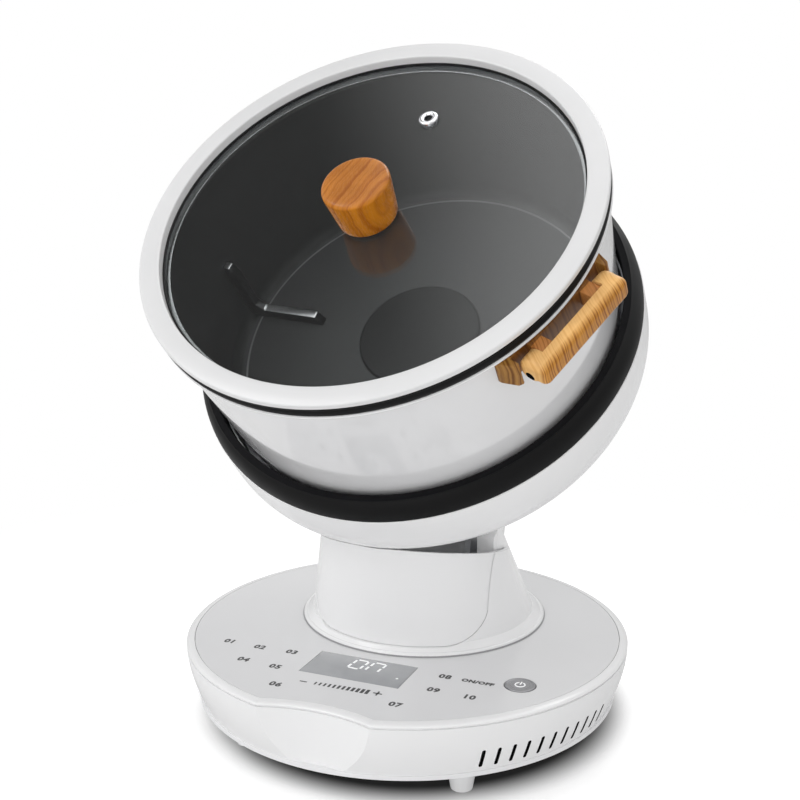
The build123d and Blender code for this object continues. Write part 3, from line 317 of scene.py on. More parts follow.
for number in range(vent_count):
    slot = slab((-vent_width / 2, vent_width / 2), (-153.2, -140), (-vent_height / 2, vent_height / 2))
    soften(slot, 1.1, segments=4)
    # The slot's faces carry the painted shade into the vent walls it carves.
    for finish in (white_plastic, painted_shade_black):
        slot.data.materials.append(finish)
    for face in slot.data.polygons:
        face.material_index = 1
    slot.matrix_world = (Matrix.Rotation(math.radians(vent_first + number * vent_pitch), 4, "Z")
                         @ Matrix.Translation((0, 0, vent_middle * MM))
                         @ Matrix.Rotation(math.radians(vent_lean), 4, "Y"))
    carve(wall, settle(slot))
inlet_z, seat_half = 36.7, 19.75
seat = carve(slab((-seat_half, seat_half), (144.6, 155), (inlet_z - 13, inlet_z + 13)),
             turn("limit", [(0, wall_low)] + side + [(154.4, 58), (0, 58)], 96), "INTERSECT")
carve(wall, seat, "UNION")
carve(wall, slab((-seat_half, seat_half), (148.6, 162), (inlet_z - 13, inlet_z + 13)))
carve(wall, slab((-13.9, 13.9), (139, 152), (inlet_z - 10.1, inlet_z + 10.1)))
fit(even(soften(wall, 0.35, 28)), "base", "white_plastic", None, "base_shell")


# Control panel: a round plate of glossy light grey plastic let into the lip, with a shallow seat
# for the display glass and a hole for the power button.
panel_grey = moulded("gloss_panel_plastic", (0.76, 0.76, 0.77), 0.1, grain=0.02, Coat_Weight=0.6,
                     Coat_Roughness=0.03)
button_x, button_y = 104.0, -65.6
panel = carve(rod(149.2, 57, panel_top, steps=200, name="control_plate"),
              rod(113.8, 50, 70, y=scoop_y, steps=240))
carve(panel, slab((-34.9, 34.9), (-99.7, -65.2), (58.8, 62)))
carve(panel, slab((-31.7, 31.7), (-96.5, -68.4), (50, 62)))
carve(panel, rod(10.3, 50, 70, button_x, button_y, 64))
carve(panel, slab((-42, 42), (8, 64), (50, 70)))
fit(even(soften(panel, 0.2, 28)), "base", "white_plastic", panel_grey, "top_panel")


# Display: smoked glass over a grey liquid crystal sheet, with two white segment characters, a
# small lamp, and the digit block, board and touch pads beneath it.
def lcd_glass():
    """Grey display sheet seen through its own glossy glass."""
    finish, tree, shader, coords = start_finish("display_glass", (0.3, 0.31, 0.33), 0.3, Coat_Weight=1.0,
                                                Coat_Roughness=0.02)
    tree.links.new(shades(tree, coords, 30, (0.26, 0.27, 0.285), (0.34, 0.35, 0.365)),
                   shader.inputs["Base Color"])
    cells = add(tree, "TexVoronoi", {"Vector": coords, "Scale": 2500}, distance="CHEBYCHEV")
    bump = add(tree, "Bump", {"Height": cells.outputs["Distance"], "Strength": 0.04, "Distance": 0.0001})
    tree.links.new(bump.outputs["Normal"], shader.inputs["Normal"])
    return finish


window = slab((-34.7, 34.7), (-99.5, -65.4), (58.8, panel_top), "display_glass_pane")
fit(soften(window, 0.35), "base", "display_glass", lcd_glass(), "display_window")


def lit_white():
    """White display ink that glows a little."""
    finish, tree, shader, coords = start_finish("display_white", (0.9, 0.9, 0.9), 0.4,
                                                Emission_Strength=0.25)
    tree.links.new(shades(tree, coords, 400, (0.82, 0.83, 0.84), (0.95, 0.95, 0.95)),
                   shader.inputs["Base Color"])
    shader.inputs["Emission Color"].default_value = (1, 1, 1, 1)
    return finish


mark_low, mark_high = 59.99, 60.03
white_ink = lit_white()
bar, tall, wide, lean = 1.5, 13.0, 8.6, 0.16


def segment(x, y, flat):
    """One bar of a segment character, pointed at both ends and leaning with the rest."""
    reach = wide if flat else tall / 2
    piece = slab((-reach / 2 + bar * 0.6, reach / 2 - bar * 0.6), (-bar / 2, bar / 2),
                 (mark_low, mark_high), "digit_bar")
    turned = Matrix.Rotation(0 if flat else math.pi / 2, 4, "Z")
    slant = Matrix.Identity(4)
    slant[0][1] = lean
    piece.matrix_world = Matrix.Translation((x * MM, y * MM, 0)) @ slant @ turned
    return settle(piece)


bars = []
low = -82.5
for left, shape in ((-8.5, "abcdef"), (4.0, "abcef")):
    for letter in shape:
        x = left + {"a": wide / 2, "d": wide / 2, "b": wide, "c": wide, "e": 0, "f": 0}[letter]
        rise = {"a": 1, "d": 0, "b": 0.75, "f": 0.75, "c": 0.25, "e": 0.25}[letter] * tall
        bars.append(segment(x + lean * rise, low + rise, letter in "ad"))
bars.append(rod(0.9, mark_low, mark_high, 28.7, -86.5, 24))
pick(*bars)
bpy.ops.object.join()
digits = bpy.context.object
digits.name = "display_characters"
fit(digits, "base", "white_plastic", white_ink)
paint_nodes(moulded("black_block_plastic", (0.02, 0.02, 0.022), 0.4, grain=0.15), "display_module",
            "power_switch", "fan_housing", "fan_impeller")


# Circuit boards: green laminate with lighter copper runs under the lacquer. The touch pads are
# conductive rubber, and the power board's parts share its finish because they are one CAD node.
def laminate():
    """Green board with copper runs."""
    finish, tree, shader, coords = start_finish("green_laminate", (0.03, 0.16, 0.07), 0.35)
    runs = add(tree, "TexBrick", {"Vector": coords, "Scale": 160, "Color1": (0.03, 0.15, 0.07, 1),
                                  "Color2": (0.04, 0.2, 0.09, 1), "Mortar": (0.09, 0.3, 0.13, 1),
                                  "Mortar Size": 0.04})
    tree.links.new(runs.outputs["Color"], shader.inputs["Base Color"])
    bump = add(tree, "Bump", {"Height": runs.outputs["Fac"], "Strength": 0.3, "Distance": 0.00004})
    tree.links.new(bump.outputs["Normal"], shader.inputs["Normal"])
    return finish


paint_nodes(laminate(), "control_board", "power_board")
paint_nodes(moulded("conductive_rubber", (0.05, 0.05, 0.055), 0.7, grain=0.3), "touch_pads")


# Printed key marks: plain numbers, a bar slider with minus and plus, and ON/OFF beside the button,
# in black ink a few hundredths of a millimetre thick.
def ink():
    """Screen-printed black ink with slightly broken edges."""
    finish, tree, shader, coords = start_finish("black_ink", (0.03, 0.03, 0.03), 0.5)
    tree.links.new(shades(tree, coords, 700, (0.015, 0.015, 0.015), (0.06, 0.06, 0.06)),
                   shader.inputs["Base Color"])
    return finish


def printed(words, x, y, size):
    """Words as a thin printed mesh, centred on a point of the panel."""
    bpy.ops.object.select_all(action="DESELECT")
    bpy.ops.object.text_add(location=(x * MM, y * MM, mark_low * MM))
    text = bpy.context.object
    text.data.body = words
    text.data.size = size * MM
    text.data.align_x = "CENTER"
    text.data.align_y = "CENTER"
    text.data.space_character = 1.12
    text.data.offset = 0.36 * MM
    text.data.extrude = 0.03 * MM
    text.data.resolution_u = 3
    bpy.ops.object.convert(target="MESH")
    return settle(bpy.context.object)


black_ink = ink()
key_places = [(-101, -75), (-77, -76), (-53, -75), (-77, -98), (-52, -100), (-39, -123.5),
              (42, -121), (56, -72), (56, -93), (80, -94)]
marks = [printed(f"{number:02d}", x, y, 7.6) for number, (x, y) in enumerate(key_places, 1)]
marks.append(printed("ON/OFF", 78, -72, 5.4))
marks.append(slab((-27, -22), (-113.8, -112.6), (mark_low, mark_high)))
marks.append(slab((23, 29), (-111.7, -110.4), (mark_low, mark_high)))
marks.append(slab((25.4, 26.6), (-114.0, -108.1), (mark_low, mark_high)))
ticks, slider_left, slider_length = 12, -16.2, 35.4
for number in range(ticks):
    share = number / (ticks - 1)
    x, half, reach = slider_left + slider_length * share, 0.6 + 0.5 * share, 1.9 + 1.1 * share
    tick = slab((-half, half), (-reach, reach), (mark_low, mark_high))
    tick.matrix_world = Matrix.Translation((x * MM, (-112.6 + 1.2 * share) * MM, 0))
    marks.append(settle(tick))
pick(*marks)
bpy.ops.object.join()
key_marks = bpy.context.object
key_marks.name = "printed_key_marks"
fit(key_marks, "base", "black_plastic", black_ink)


# Power button: a turned aluminium cap with a chamfer and a dished face, on its spring plunger,
# and the usual power sign printed on it in pale ink.
def turned_metal(name, colour, roughness, centre, tilt=0.0, pitch=900, depth=0.35):
    """Metal with the rings that a lathe tool leaves about an axis."""
    finish, tree, shader, coords = start_finish(name, colour, roughness, Metallic=1)
    local = add(tree, "Mapping", {"Vector": coords, "Location": centre, "Rotation": (tilt, 0, 0)},
                vector_type="TEXTURE")
    flat = add(tree, "VectorMath", {0: local.outputs["Vector"], 1: (1, 1, 0)}, operation="MULTIPLY")
    out = add(tree, "VectorMath", {0: flat.outputs["Vector"]}, operation="LENGTH")
    rings = add(tree, "TexNoise", {"W": out.outputs["Value"], "Scale": pitch, "Detail": 4},
                noise_dimensions="1D")
    tree.links.new(spread(tree, rings.outputs["Fac"], roughness * 0.55, roughness * 1.6),
                   shader.inputs["Roughness"])
    bump = add(tree, "Bump", {"Height": rings.outputs["Fac"], "Strength": depth, "Distance": 0.00006})
    tree.links.new(bump.outputs["Normal"], shader.inputs["Normal"])
    return finish


button = turn("power_button_cap", [(0, 50.2), (3, 50.2), (3, 55.2), (11.6, 55.2), (11.6, 56.7), (10, 56.7),
                                   (10, 60.2), (9.6, 60.6), (8.7, 60.6), (8.4, 60.35), (0, 60.25)], 96)
settle(soften(button, 0.1), Matrix.Translation((button_x * MM, button_y * MM, 0)))
spun = turned_metal("spun_aluminium_button", (0.3, 0.3, 0.31), 0.3, (button_x * MM, button_y * MM, 0))
fit(button, "button", "aluminium", spun, "power_button")
line_half = 0.42
bpy.ops.object.select_all(action="DESELECT")
bpy.ops.mesh.primitive_torus_add(major_radius=3.1 * MM, minor_radius=line_half * MM, major_segments=48,
                                 minor_segments=8, location=(button_x * MM, button_y * MM, 60.3 * MM))
sign = settle(bpy.context.object)
carve(sign, slab((button_x - 1.3, button_x + 1.3), (button_y, button_y + 6), (59, 62)))
stroke = slab((button_x - line_half, button_x + line_half), (button_y + 0.4, button_y + 4.2), (60.2, 60.5))
carve(sign, stroke, "UNION")
sign.name = "power_sign"
fit(soften(sign, 0), "button", "white_plastic", white_ink)


# Power inlet at the rear: a black socket with three brass pins, screwed into its seat.
paint_nodes(moulded("black_socket_plastic", (0.018, 0.018, 0.02), 0.45, grain=0.35), "power_inlet")
brass = bare_metal("brass", (0.78, 0.58, 0.28), 0.28)
paint_nodes(brass, "inlet_pins")


# Pedestal: a white moulding with a round flange, a neck that leans forward and two cheeks, and a
# curved cover clipped into its open front. A thin grey rubber ring under the flange is painted shade,
# standing in for the shade line there, and a steel yoke inside carries the tilt shaft.
fit(rework("pedestal_neck", "pedestal_body", 0.8, 32), "base", "white_plastic", white_plastic,
    "pedestal_body")
low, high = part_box("pedestal_body")
flange_r = (high.x - low.x) / 2 / MM
# A grey ring under the flange: painted shade for the line there.
ring = turn("flange_shade_line_ring", [(flange_r - 1, 60), (flange_r + 0.4, 60), (flange_r + 0.6, 60.4),
                              (flange_r + 0.3, 60.9), (flange_r - 1, 60.9), (flange_r - 1, 60)], 160)
soften(ring, 0)
settle(ring, Matrix.Translation(((low.x + high.x) / 2, (low.y + high.y) / 2, 0)))
fit(ring, "base", "rubber", grey_rubber)
fit(rework("neck_front_cover", "pedestal_front_cover", 0.9, 32, 4), "base", "white_plastic", white_plastic,
    "pedestal_front_cover")
yoke_steel = bare_metal("pressed_steel", (0.5, 0.51, 0.53), 0.4)
paint_nodes(yoke_steel, "tilt_bracket", "shaft_clips")
paint_nodes(bare_metal("ground_steel", (0.66, 0.67, 0.69), 0.22, streak=(40, 1, 1)), "tilt_shaft",
            "drive_shaft")
paint_nodes(brass, "tilt_bushes", "friction_washers")


# Bowl of the head: a deep white moulding with a flat floor and a cast knuckle bolted under it. It
# is modelled upright about the pot's axis and then set on the tilted head.
head_tilt = math.radians(45)
head_place = Matrix.Translation((0, -69.819 * MM, 357.581 * MM)) @ Matrix.Rotation(head_tilt, 4, "X")
bowl_outline = ([(0, -196.9), (72.2, -196.9)] + arc((72.2, -139.6), (81.2, 57.3), -90, 0, 24)
                + [(153.4, -117.6), (156.4, -117.6)] + arc((72.2, -139.6), (84.2, 60.3), 0, -90, 24)
                + [(0, -199.9)])
bowl = soften(turn("white_bowl", bowl_outline, 192), 0.4)
fit(settle(bowl, head_place), "head", "white_plastic", white_plastic, "head_shell")
cast = moulded("cast_aluminium", (0.6, 0.61, 0.62), 0.45, grain=0.5, Metallic=1)
paint_nodes(cast, "head_knuckle", "bearing_housing", "gearmotor", "drive_hub", "heater_plate",
            "pot_coupling")
paint_nodes(zinc, "knuckle_bolts", "bracket_screws", "knob_screw")
paint_nodes(yoke_steel, "motor_bracket", "heating_element", "heat_well", "shaft_bearings",
            "temperature_sensor")
paint_nodes(moulded("white_ceramic", (0.78, 0.75, 0.68), 0.55, grain=0.3), "heater_posts")


# Bezel: a black ring between bowl and pot. Its rounded outer face carries a low gloss, and a small step
# leads down to the pot; the step is painted matte black as painted shade.
black_bezel = moulded("black_bezel_plastic", (0.004, 0.004, 0.0043), 0.45, grain=0.12,
                      Specular_IOR_Level=0.16)
bezel_outline = ([(144.6, -119.5), (144.6, -103.6), (145.2, -102.6), (149.2, -103.2), (149.6, -102.9)]
                 + arc((144.9, -117.3), (11.0, 15.6), 62, 0, 12)
                 + [(155.9, -117.3), (153.1, -117.3), (153.1, -123.3), (151.1, -123.3), (151.1, -119.5),
                    (144.6, -119.5)])
bezel = soften(turn("black_bezel_ring", bezel_outline, 192), 0.15, 35)
fit(settle(bezel, head_place), "head", "black_plastic", black_bezel, "head_bezel")
bezel.data.materials.append(painted_shade_black)
upright, step_edge = head_place.inverted(), 149.3 * MM
# Faces inside the step radius get the painted shade.
for face in bezel.data.polygons:
    middle = upright @ face.center
    face.material_index = 1 if math.hypot(middle.x, middle.y) < step_edge else 0


# Pot: pressed and enamelled white outside, with a rolled lip, and lined black inside. It turns on
# the drive hub under its floor.
def enamel():
    """Fired white enamel: deep gloss over a very slight orange peel."""
    finish, tree, shader, coords = start_finish("white_enamel", (0.84, 0.84, 0.85), 0.16,
                                                Coat_Weight=1.0, Coat_Roughness=0.04)
    tree.links.new(shades(tree, coords, 12, (0.82, 0.82, 0.83), (0.86, 0.86, 0.868)),
                   shader.inputs["Base Color"])
    peel = add(tree, "TexNoise", {"Vector": coords, "Scale": 320, "Detail": 2})
    bump = add(tree, "Bump", {"Height": peel.outputs["Fac"], "Strength": 0.03, "Distance": 0.0003})
    tree.links.new(bump.outputs["Normal"], shader.inputs["Normal"])
    return finish


pot_foot_r, pot_foot_z = 140.6, -122.0
pot_rim_r, pot_rim_z = 146.4, -11.9


def wall_at(height, inset=0):
    """The pot wall's outer radius at a height, less an inset."""
    share = (height - pot_foot_z) / (pot_rim_z - pot_foot_z)
    return pot_foot_r + (pot_rim_r - pot_foot_r) * share - inset


pot_outline = ([(0, -132.7), (129.5, -132.7)]
               + arc((127.7, pot_foot_z), (10.7, 10.7), -90, 0, 8)
               + [(wall_at(-14, 2.2), -14), (wall_at(pot_rim_z, 2.2), pot_rim_z), (148.0, pot_rim_z)]
               + arc((148.0, -12.95), (1.5, 1.05), 90, -90, 8)
               + [(wall_at(-14.1), -14.1), (wall_at(-15.4), -15.4)]
               + arc((127.7, pot_foot_z), (12.9, 12.9), 0, -90, 8) + [(0, -134.9)])
pot = soften(turn("enamelled_pot", pot_outline, 192), 0, 45)
fit(settle(pot, head_place), "pot", "enamel", enamel(), "pot_shell")


# Radius of the painted highlight line in the lining.
highlight_line_r = 128.5


def nonstick(name, wall_tone, lit_floor_tone):
    """Black non-stick coating: turned rings and fine pale flecks in a soft sheen, a floor painted paler
    as painted light, and a painted highlight line where the floor turns up into the wall."""
    finish, tree, shader, coords = start_finish(name, wall_tone, 0.36, Specular_IOR_Level=0.16)
    local = add(tree, "Mapping", {"Vector": coords, "Location": head_place.translation,
                                  "Rotation": (head_tilt, 0, 0)}, vector_type="TEXTURE")
    flat = add(tree, "VectorMath", {0: local.outputs["Vector"], 1: (1, 1, 0)}, operation="MULTIPLY")
    out = add(tree, "VectorMath", {0: flat.outputs["Vector"]}, operation="LENGTH")
    rings = add(tree, "TexNoise", {"W": out.outputs["Value"], "Scale": 700, "Detail": 3},
                noise_dimensions="1D")
    flecks = shades(tree, local.outputs["Vector"], 1400, (1, 1, 1), (1.08, 1.08, 1.08), 0.6, 0.85, 2)
    depth = add(tree, "SeparateXYZ", {"Vector": local.outputs["Vector"]}).outputs["Z"]
    # The floor of the lining is painted paler than the wall: painted light where the floor faces the lamps.
    floor_share = add(tree, "MapRange", {"Value": depth, "From Min": -130.5 * MM,
                                         "From Max": -131.7 * MM})
    tone = add(tree, "Mix", {0: floor_share.outputs["Result"], 6: (*wall_tone, 1), 7: (*lit_floor_tone, 1)},
               data_type="RGBA")
    # A pale ring at the foot of the wall: a painted highlight line.
    beside = add(tree, "Math", {0: out.outputs["Value"], 1: highlight_line_r * MM}, operation="SUBTRACT")
    beside = add(tree, "Math", {0: beside.outputs["Value"]}, operation="ABSOLUTE")
    line = add(tree, "MapRange", {"Value": beside.outputs["Value"], "From Min": 0.5 * MM,
                                  "From Max": 0.9 * MM, "To Min": 0.8, "To Max": 0.0})
    tone = add(tree, "Mix", {0: line.outputs["Result"], 6: tone.outputs[2], 7: (0.3, 0.3, 0.3, 1)},
               data_type="RGBA")
    speckled = add(tree, "Mix", {0: 1.0, 6: tone.outputs[2], 7: flecks}, data_type="RGBA",
                   blend_type="MULTIPLY")
    tree.links.new(speckled.outputs[2], shader.inputs["Base Color"])
    tree.links.new(spread(tree, rings.outputs["Fac"], 0.3, 0.4), shader.inputs["Roughness"])
    bump = add(tree, "Bump", {"Height": rings.outputs["Fac"], "Strength": 0.01, "Distance": 0.0001})
    tree.links.new(bump.outputs["Normal"], shader.inputs["Normal"])
    return finish


coating = nonstick("nonstick_coating", (0.026, 0.026, 0.0263), (0.075, 0.075, 0.0755))
liner_outline = ([(0, -131.9), (128, -131.9)] + arc((127.7, pot_foot_z), (9.9, 9.9), -90, 0, 10)
                 + [(wall_at(pot_rim_z, 3.0), pot_rim_z), (wall_at(pot_rim_z, 2.2), pot_rim_z)]
                 + arc((127.7, pot_foot_z), (10.7, 10.7), 0, -90, 8) + [(0, -132.7)])
liner = soften(turn("pot_lining", liner_outline, 192), 0, 45)
fit(settle(liner, head_place), "pot", "nonstick", coating, "pot_liner")
cap = turn("pot_drive_cap", [(0, -131.9), (43.6, -131.9), (43.6, -131.3)]
           + arc((41.6, -131.3), (2, 1.9), 0, 90, 6) + [(0, -129.2)], 96)
cap_coating = nonstick("nonstick_cap_coating", (0.02, 0.02, 0.0202), (0.02, 0.02, 0.0202))
fit(settle(soften(cap, 0, 40), head_place), "pot", "nonstick", cap_coating, "drive_cap")


# Stirring fins: two L-shaped blades of coated steel, welded along the floor and up the wall. Their
# faces that look up the pot's axis are painted bright steel as a painted highlight.
fin_steel = bare_metal("satin_fin_steel", (0.07, 0.07, 0.072), 0.3)
fins = rework("stirring_fins", "stir_fins", 1.2)
fit(fins, "pot", "nonstick", fin_steel, "stir_fins")
# Faces looking up the pot's axis get bright steel: a painted highlight.
fins.data.materials.append(bare_metal("painted_highlight_fin_edge", (0.75, 0.75, 0.76), 0.3))
highlight_side = head_place.to_3x3() @ Vector((0, 0, 1))
for face in fins.data.polygons:
    face.material_index = 1 if face.normal.dot(highlight_side) > 0.8 else 0


# Side handles: oiled light wood. Each U-shaped grip swings on two steel pins held by the lugs of a
# bracket that hugs the pot. The right one stands out and the left one hangs folded.
def wood(name, place, tones, masks, lines, wander, direction, gloss, lean, strong):
    """Oiled wood: a ground tone, other tones where a mask on the piece's own axes says, and fine
    growth lines, pores and soft patches over them."""
    finish, tree, shader, coords = start_finish(name, tones[0], gloss, Coat_Weight=0.03,
                                                Coat_Roughness=0.3, Specular_IOR_Level=0.28)
    local = add(tree, "Mapping", {"Vector": coords, "Location": place.translation,
                                  "Rotation": place.to_euler()}, vector_type="TEXTURE").outputs["Vector"]
    axes = add(tree, "SeparateXYZ", {"Vector": local})
    ground = (*tones[0], 1)
    for tone, (axis, start, end) in zip(tones[1:], masks):
        across = axes.outputs[axis.strip("|")]
        if "|" in axis:
            across = add(tree, "Math", {0: across}, operation="ABSOLUTE").outputs["Value"]
        share = add(tree, "MapRange", {"Value": across, "From Min": start * MM, "From Max": end * MM})
        blend = add(tree, "Mix", {0: share.outputs["Result"], 6: ground, 7: (*tone, 1)}, data_type="RGBA")
        ground = blend.outputs[2]
    turned = add(tree, "Mapping", {"Vector": local, "Rotation": (0, 0, lean)})
    sway = add(tree, "TexNoise", {"Vector": local, "Scale": 38, "Detail": 2})
    along = add(tree, "SeparateXYZ", {"Vector": turned.outputs["Vector"]})
    shifted = spread(tree, sway.outputs["Fac"], -wander * MM, wander * MM)
    where = add(tree, "Math", {0: along.outputs[direction], 1: shifted}, operation="ADD")
    rings = add(tree, "TexNoise", {"W": where.outputs["Value"], "Scale": lines, "Detail": 1.5},
                noise_dimensions="1D")
    patches = shades(tree, local, 60, (0.84, 0.8, 0.76), (1.06, 1.05, 1.04))
    depth = add(tree, "Mix", {0: share.outputs["Result"], 6: (*strong[0], 1), 7: (*strong[1], 1)},
                data_type="RGBA")
    crisp = add(tree, "MapRange", {"Value": rings.outputs["Fac"], "From Min": 0.36, "From Max": 0.56})
    growth = add(tree, "Mix", {0: crisp.outputs["Result"], 6: depth.outputs[2], 7: (1, 1, 1, 1)},
                 data_type="RGBA")
    for layer in (patches, growth.outputs[2]):
        tint = add(tree, "Mix", {0: 1.0, 6: ground, 7: layer}, data_type="RGBA", blend_type="MULTIPLY")
        ground = tint.outputs[2]
    tree.links.new(ground, shader.inputs["Base Color"])
    stretch = {"X": (12, 1, 1), "Y": (1, 12, 1)}[direction]
    pores = add(tree, "Mapping", {"Vector": local, "Scale": stretch})
    fibre = add(tree, "TexNoise", {"Vector": pores.outputs["Vector"], "Scale": 240, "Detail": 5})
    tree.links.new(spread(tree, fibre.outputs["Fac"], gloss * 0.8, gloss * 1.4), shader.inputs["Roughness"])
    bump = add(tree, "Bump", {"Height": fibre.outputs["Fac"], "Strength": 0.1, "Distance": 0.0002})
    tree.links.new(bump.outputs["Normal"], shader.inputs["Normal"])
    return finish


pin_out, pin_height, fold_angle = 156, -24.3, 85
counterbore_r = 3.0


def pin_bar(radius, low, high, height=pin_height, steps=48):
    """A round bar along the handle's pin."""
    bar = rod(radius, low, high, steps=steps)
    return settle(bar, Matrix.Translation((pin_out * MM, 0, height * MM))
                  @ Matrix.Rotation(math.radians(-90), 4, "X"))


pin_place = Matrix.Translation((pin_out * MM, 0, pin_height * MM))
fold = pin_place @ Matrix.Rotation(math.radians(fold_angle), 4, "Y") @ pin_place.inverted()
for side_name, angle, swing in (("right", -26.0, Matrix.Identity(4)), ("left", 154.0, fold)):
    grip = slab((152, 167.9), (-38, 38), (-28.0, -13.1), f"wooden_grip_{side_name}")
    soften(grip, 4.4, 35, 7)
    carve(grip, soften(pin_bar(8, -38, 38, -21.3), 3.4, 35, 5), "UNION")
    carve(grip, slab((130, 158.4), (-27, 27), (-60, 0)))
    carve(grip, slab((130, 180), (-60, 60), (-60, -28.0)))
    for low, high in ((-27, -17), (17, 27)):
        carve(grip, pin_bar(5.0, low, high))
    carve(grip, pin_bar(2.05, -60, 60, steps=24))
    for low, high in ((-39, -35.3), (35.3, 39)):
        carve(grip, pin_bar(counterbore_r, low, high, steps=32))
    soften(grip, 0.9, 35, 3)
    handle_place = head_place @ Matrix.Rotation(math.radians(angle), 4, "Z")
    # The grip's outer part gets a deeper orange tone: painted shade on its outer face.
    grip_wood = wood(f"grip_wood_{side_name}", handle_place @ swing,
                     ((0.88, 0.53, 0.2), (0.62, 0.28, 0.045)), (("X", 163.5, 167.2),), 760, 3.0, "Y", 0.34,
                     0.5, ((0.9, 0.83, 0.72), (0.5, 0.37, 0.24)))
    grip.data.materials.append(grip_wood)
    # Faces round the pin axis, in the pin hole and counterbores, get the painted shade.
    grip.data.materials.append(painted_shade_black)
    for face in grip.data.polygons:
        reach = math.hypot(face.center.x - pin_out * MM, face.center.z - pin_height * MM)
        face.material_index = 1 if reach < (counterbore_r + 0.02) * MM else 0
    fit(settle(grip, handle_place @ swing), f"{side_name}_grip", "handle_wood", None,
        f"handle_grip_{side_name}")
    # The bracket's plate under the grip takes a dark ground tone as painted shade; the lugs stand out
    # lighter.
    bracket_wood = wood(f"bracket_wood_{side_name}", handle_place,
                        ((0.25, 0.1, 0.018), (0.62, 0.26, 0.07), (0.4, 0.2, 0.045)),
                        (("X", 149.2, 149.8), ("|Y|", 37.5, 38.5)), 560, 3.5, "Y", 0.34, 0.6,
                        ((0.7, 0.62, 0.5), (0.45, 0.33, 0.2)))
    fit(rework(f"wooden_bracket_{side_name}", f"handle_bracket_{side_name}", 1.1), "pot", "bracket_wood",
        bracket_wood, f"handle_bracket_{side_name}")
paint_nodes(bare_metal("black_pin_steel", (0.02, 0.02, 0.02), 0.35), "handle_pins")


# Lid: a pearl-white ring on a steel band, a black silicone ring between lid and pot, and a dished
# pane of tempered glass with a thin dark gasket.
pearl = moulded("pearl_white_rim", (0.8, 0.8, 0.805), 0.34, grain=0.12, drift=0.07, Coat_Weight=0.4,
                Coat_Roughness=0.15)
rim_low = -3.6
rim_outline = ([(136, -6.2), (136, -1.2)] + arc((137.2, -1.2), (1.2, 1.2), 180, 90, 5)
               + arc((148.4, -1.2), (1.2, 1.2), 90, 0, 5)
               + [(149.6, -3.4), (149.3, rim_low), (139.5, rim_low), (139.5, -6.2), (136, -6.2)])
rim = soften(turn("pearl_lid_rim", rim_outline, 192), 0, 35)
fit(settle(rim, head_place), "lid", "pearl_plastic", pearl, "lid_rim")
silicone = moulded("black_silicone", (0.004, 0.004, 0.0045), 0.55, grain=0.2, Specular_IOR_Level=0.2)
seal = turn("lid_silicone_ring", [(142.7, -11.6), (142.7, rim_low), (149.0, rim_low)]
            + arc((148.5, -4.9), (0.8, 1.1), 60, -60, 6) + [(148.6, -6.2)]
            + arc((148.0, -8.9), (1.4, 2.4), 60, -60, 10) + [(148.5, -11.6), (142.7, -11.6)], 192)
fit(settle(soften(seal, 0, 35), head_place), "lid", "seal", silicone, "lid_seal")
gasket = turn("glass_gasket", [(134.6, -6.6), (134.6, -6.2), (135.1, -5.7), (136.4, -5.7), (136.4, -6.6),
                               (134.6, -6.6)], 192)
fit(settle(soften(gasket, 0, 35), head_place), "lid", "seal", silicone)
band_steel = turned_metal("lid_band_steel", (0.66, 0.67, 0.68), 0.2, head_place.translation, head_tilt)
band = turn("lid_steel_band", [(142.4, rim_low), (142.4, -13), (133, -13), (133, -12), (141.4, -12),
                               (141.4, rim_low), (142.4, rim_low)], 192)
fit(settle(soften(band, 0.2, 35), head_place), "lid", "steel", band_steel, "lid_band")


def lid_pane():
    """Clear tempered glass that lets the lamps through to the food."""
    finish, tree, shader, coords = start_finish("tempered_glass", (0.93, 0.95, 0.95), 0.0,
                                                Transmission_Weight=1.0, IOR=1.5)
    smears = shades(tree, coords, 7, (0.91, 0.93, 0.93), (0.945, 0.965, 0.965), detail=5)
    tree.links.new(smears, shader.inputs["Base Color"])
    clear = add(tree, "BsdfTransparent", {"Color": (0.85, 0.87, 0.87, 1)})
    lamps = add(tree, "LightPath")
    both = add(tree, "MixShader", {0: lamps.outputs["Is Shadow Ray"], 1: shader.outputs["BSDF"],
                                   2: clear.outputs["BSDF"]})
    tree.links.new(both.outputs["Shader"], tree.nodes["Material Output"].inputs["Surface"])
    return finish


pane_r, pane_edge_z, pane_dip, pane_thickness = 139.0, -6.5, 3.4, 3.5


def dish(radius, thickness=0.0):
    """Height of the dished pane at a radius."""
    return pane_edge_z - pane_dip * (1 - (radius / pane_r) ** 2) - thickness


pane_radii = [2.5, 4, 10, 20, 35, 50, 65, 80, 95, 110, 122, 132, pane_r]
pane_outline = ([(r, dish(r)) for r in pane_radii]
                + [(r, dish(r, pane_thickness)) for r in reversed(pane_radii)]
                + [(pane_radii[0], dish(pane_radii[0]))])
pane = turn("lid_glass_pane", pane_outline, 160)
vent_out, vent_angle = 86, math.radians(79)
vent_x, vent_y = vent_out * math.cos(vent_angle), vent_out * math.sin(vent_angle)
carve(pane, rod(4.1, -30, 0, vent_x, vent_y, 32))
fit(settle(soften(pane, 0, 35), head_place), "lid", "glass", lid_pane(), "lid_glass")


# Steam vent: a chrome eyelet riveted through the glass near the rim.
chrome = turned_metal("chrome_eyelet", (0.8, 0.8, 0.82), 0.08, head_place.translation, head_tilt,
                      depth=0.05)
vent_z = dish(vent_out)
eyelet_outline = ([(3, vent_z - 5.1), (3, vent_z + 0.8)] + arc((4.6, vent_z + 0.4), (1.9, 1.4), 165, 0, 8)
                  + [(6.5, vent_z + 0.05), (4, vent_z + 0.05), (4, vent_z - 3.9), (5.5, vent_z - 3.9),
                     (5.5, vent_z - 5.1), (3, vent_z - 5.1)])
eyelet = settle(soften(turn("steam_vent_eyelet", eyelet_outline, 48), 0, 40),
                Matrix.Translation((vent_x * MM, vent_y * MM, 0)))
fit(settle(eyelet, head_place), "lid", "chrome", chrome, "vent_eyelet")


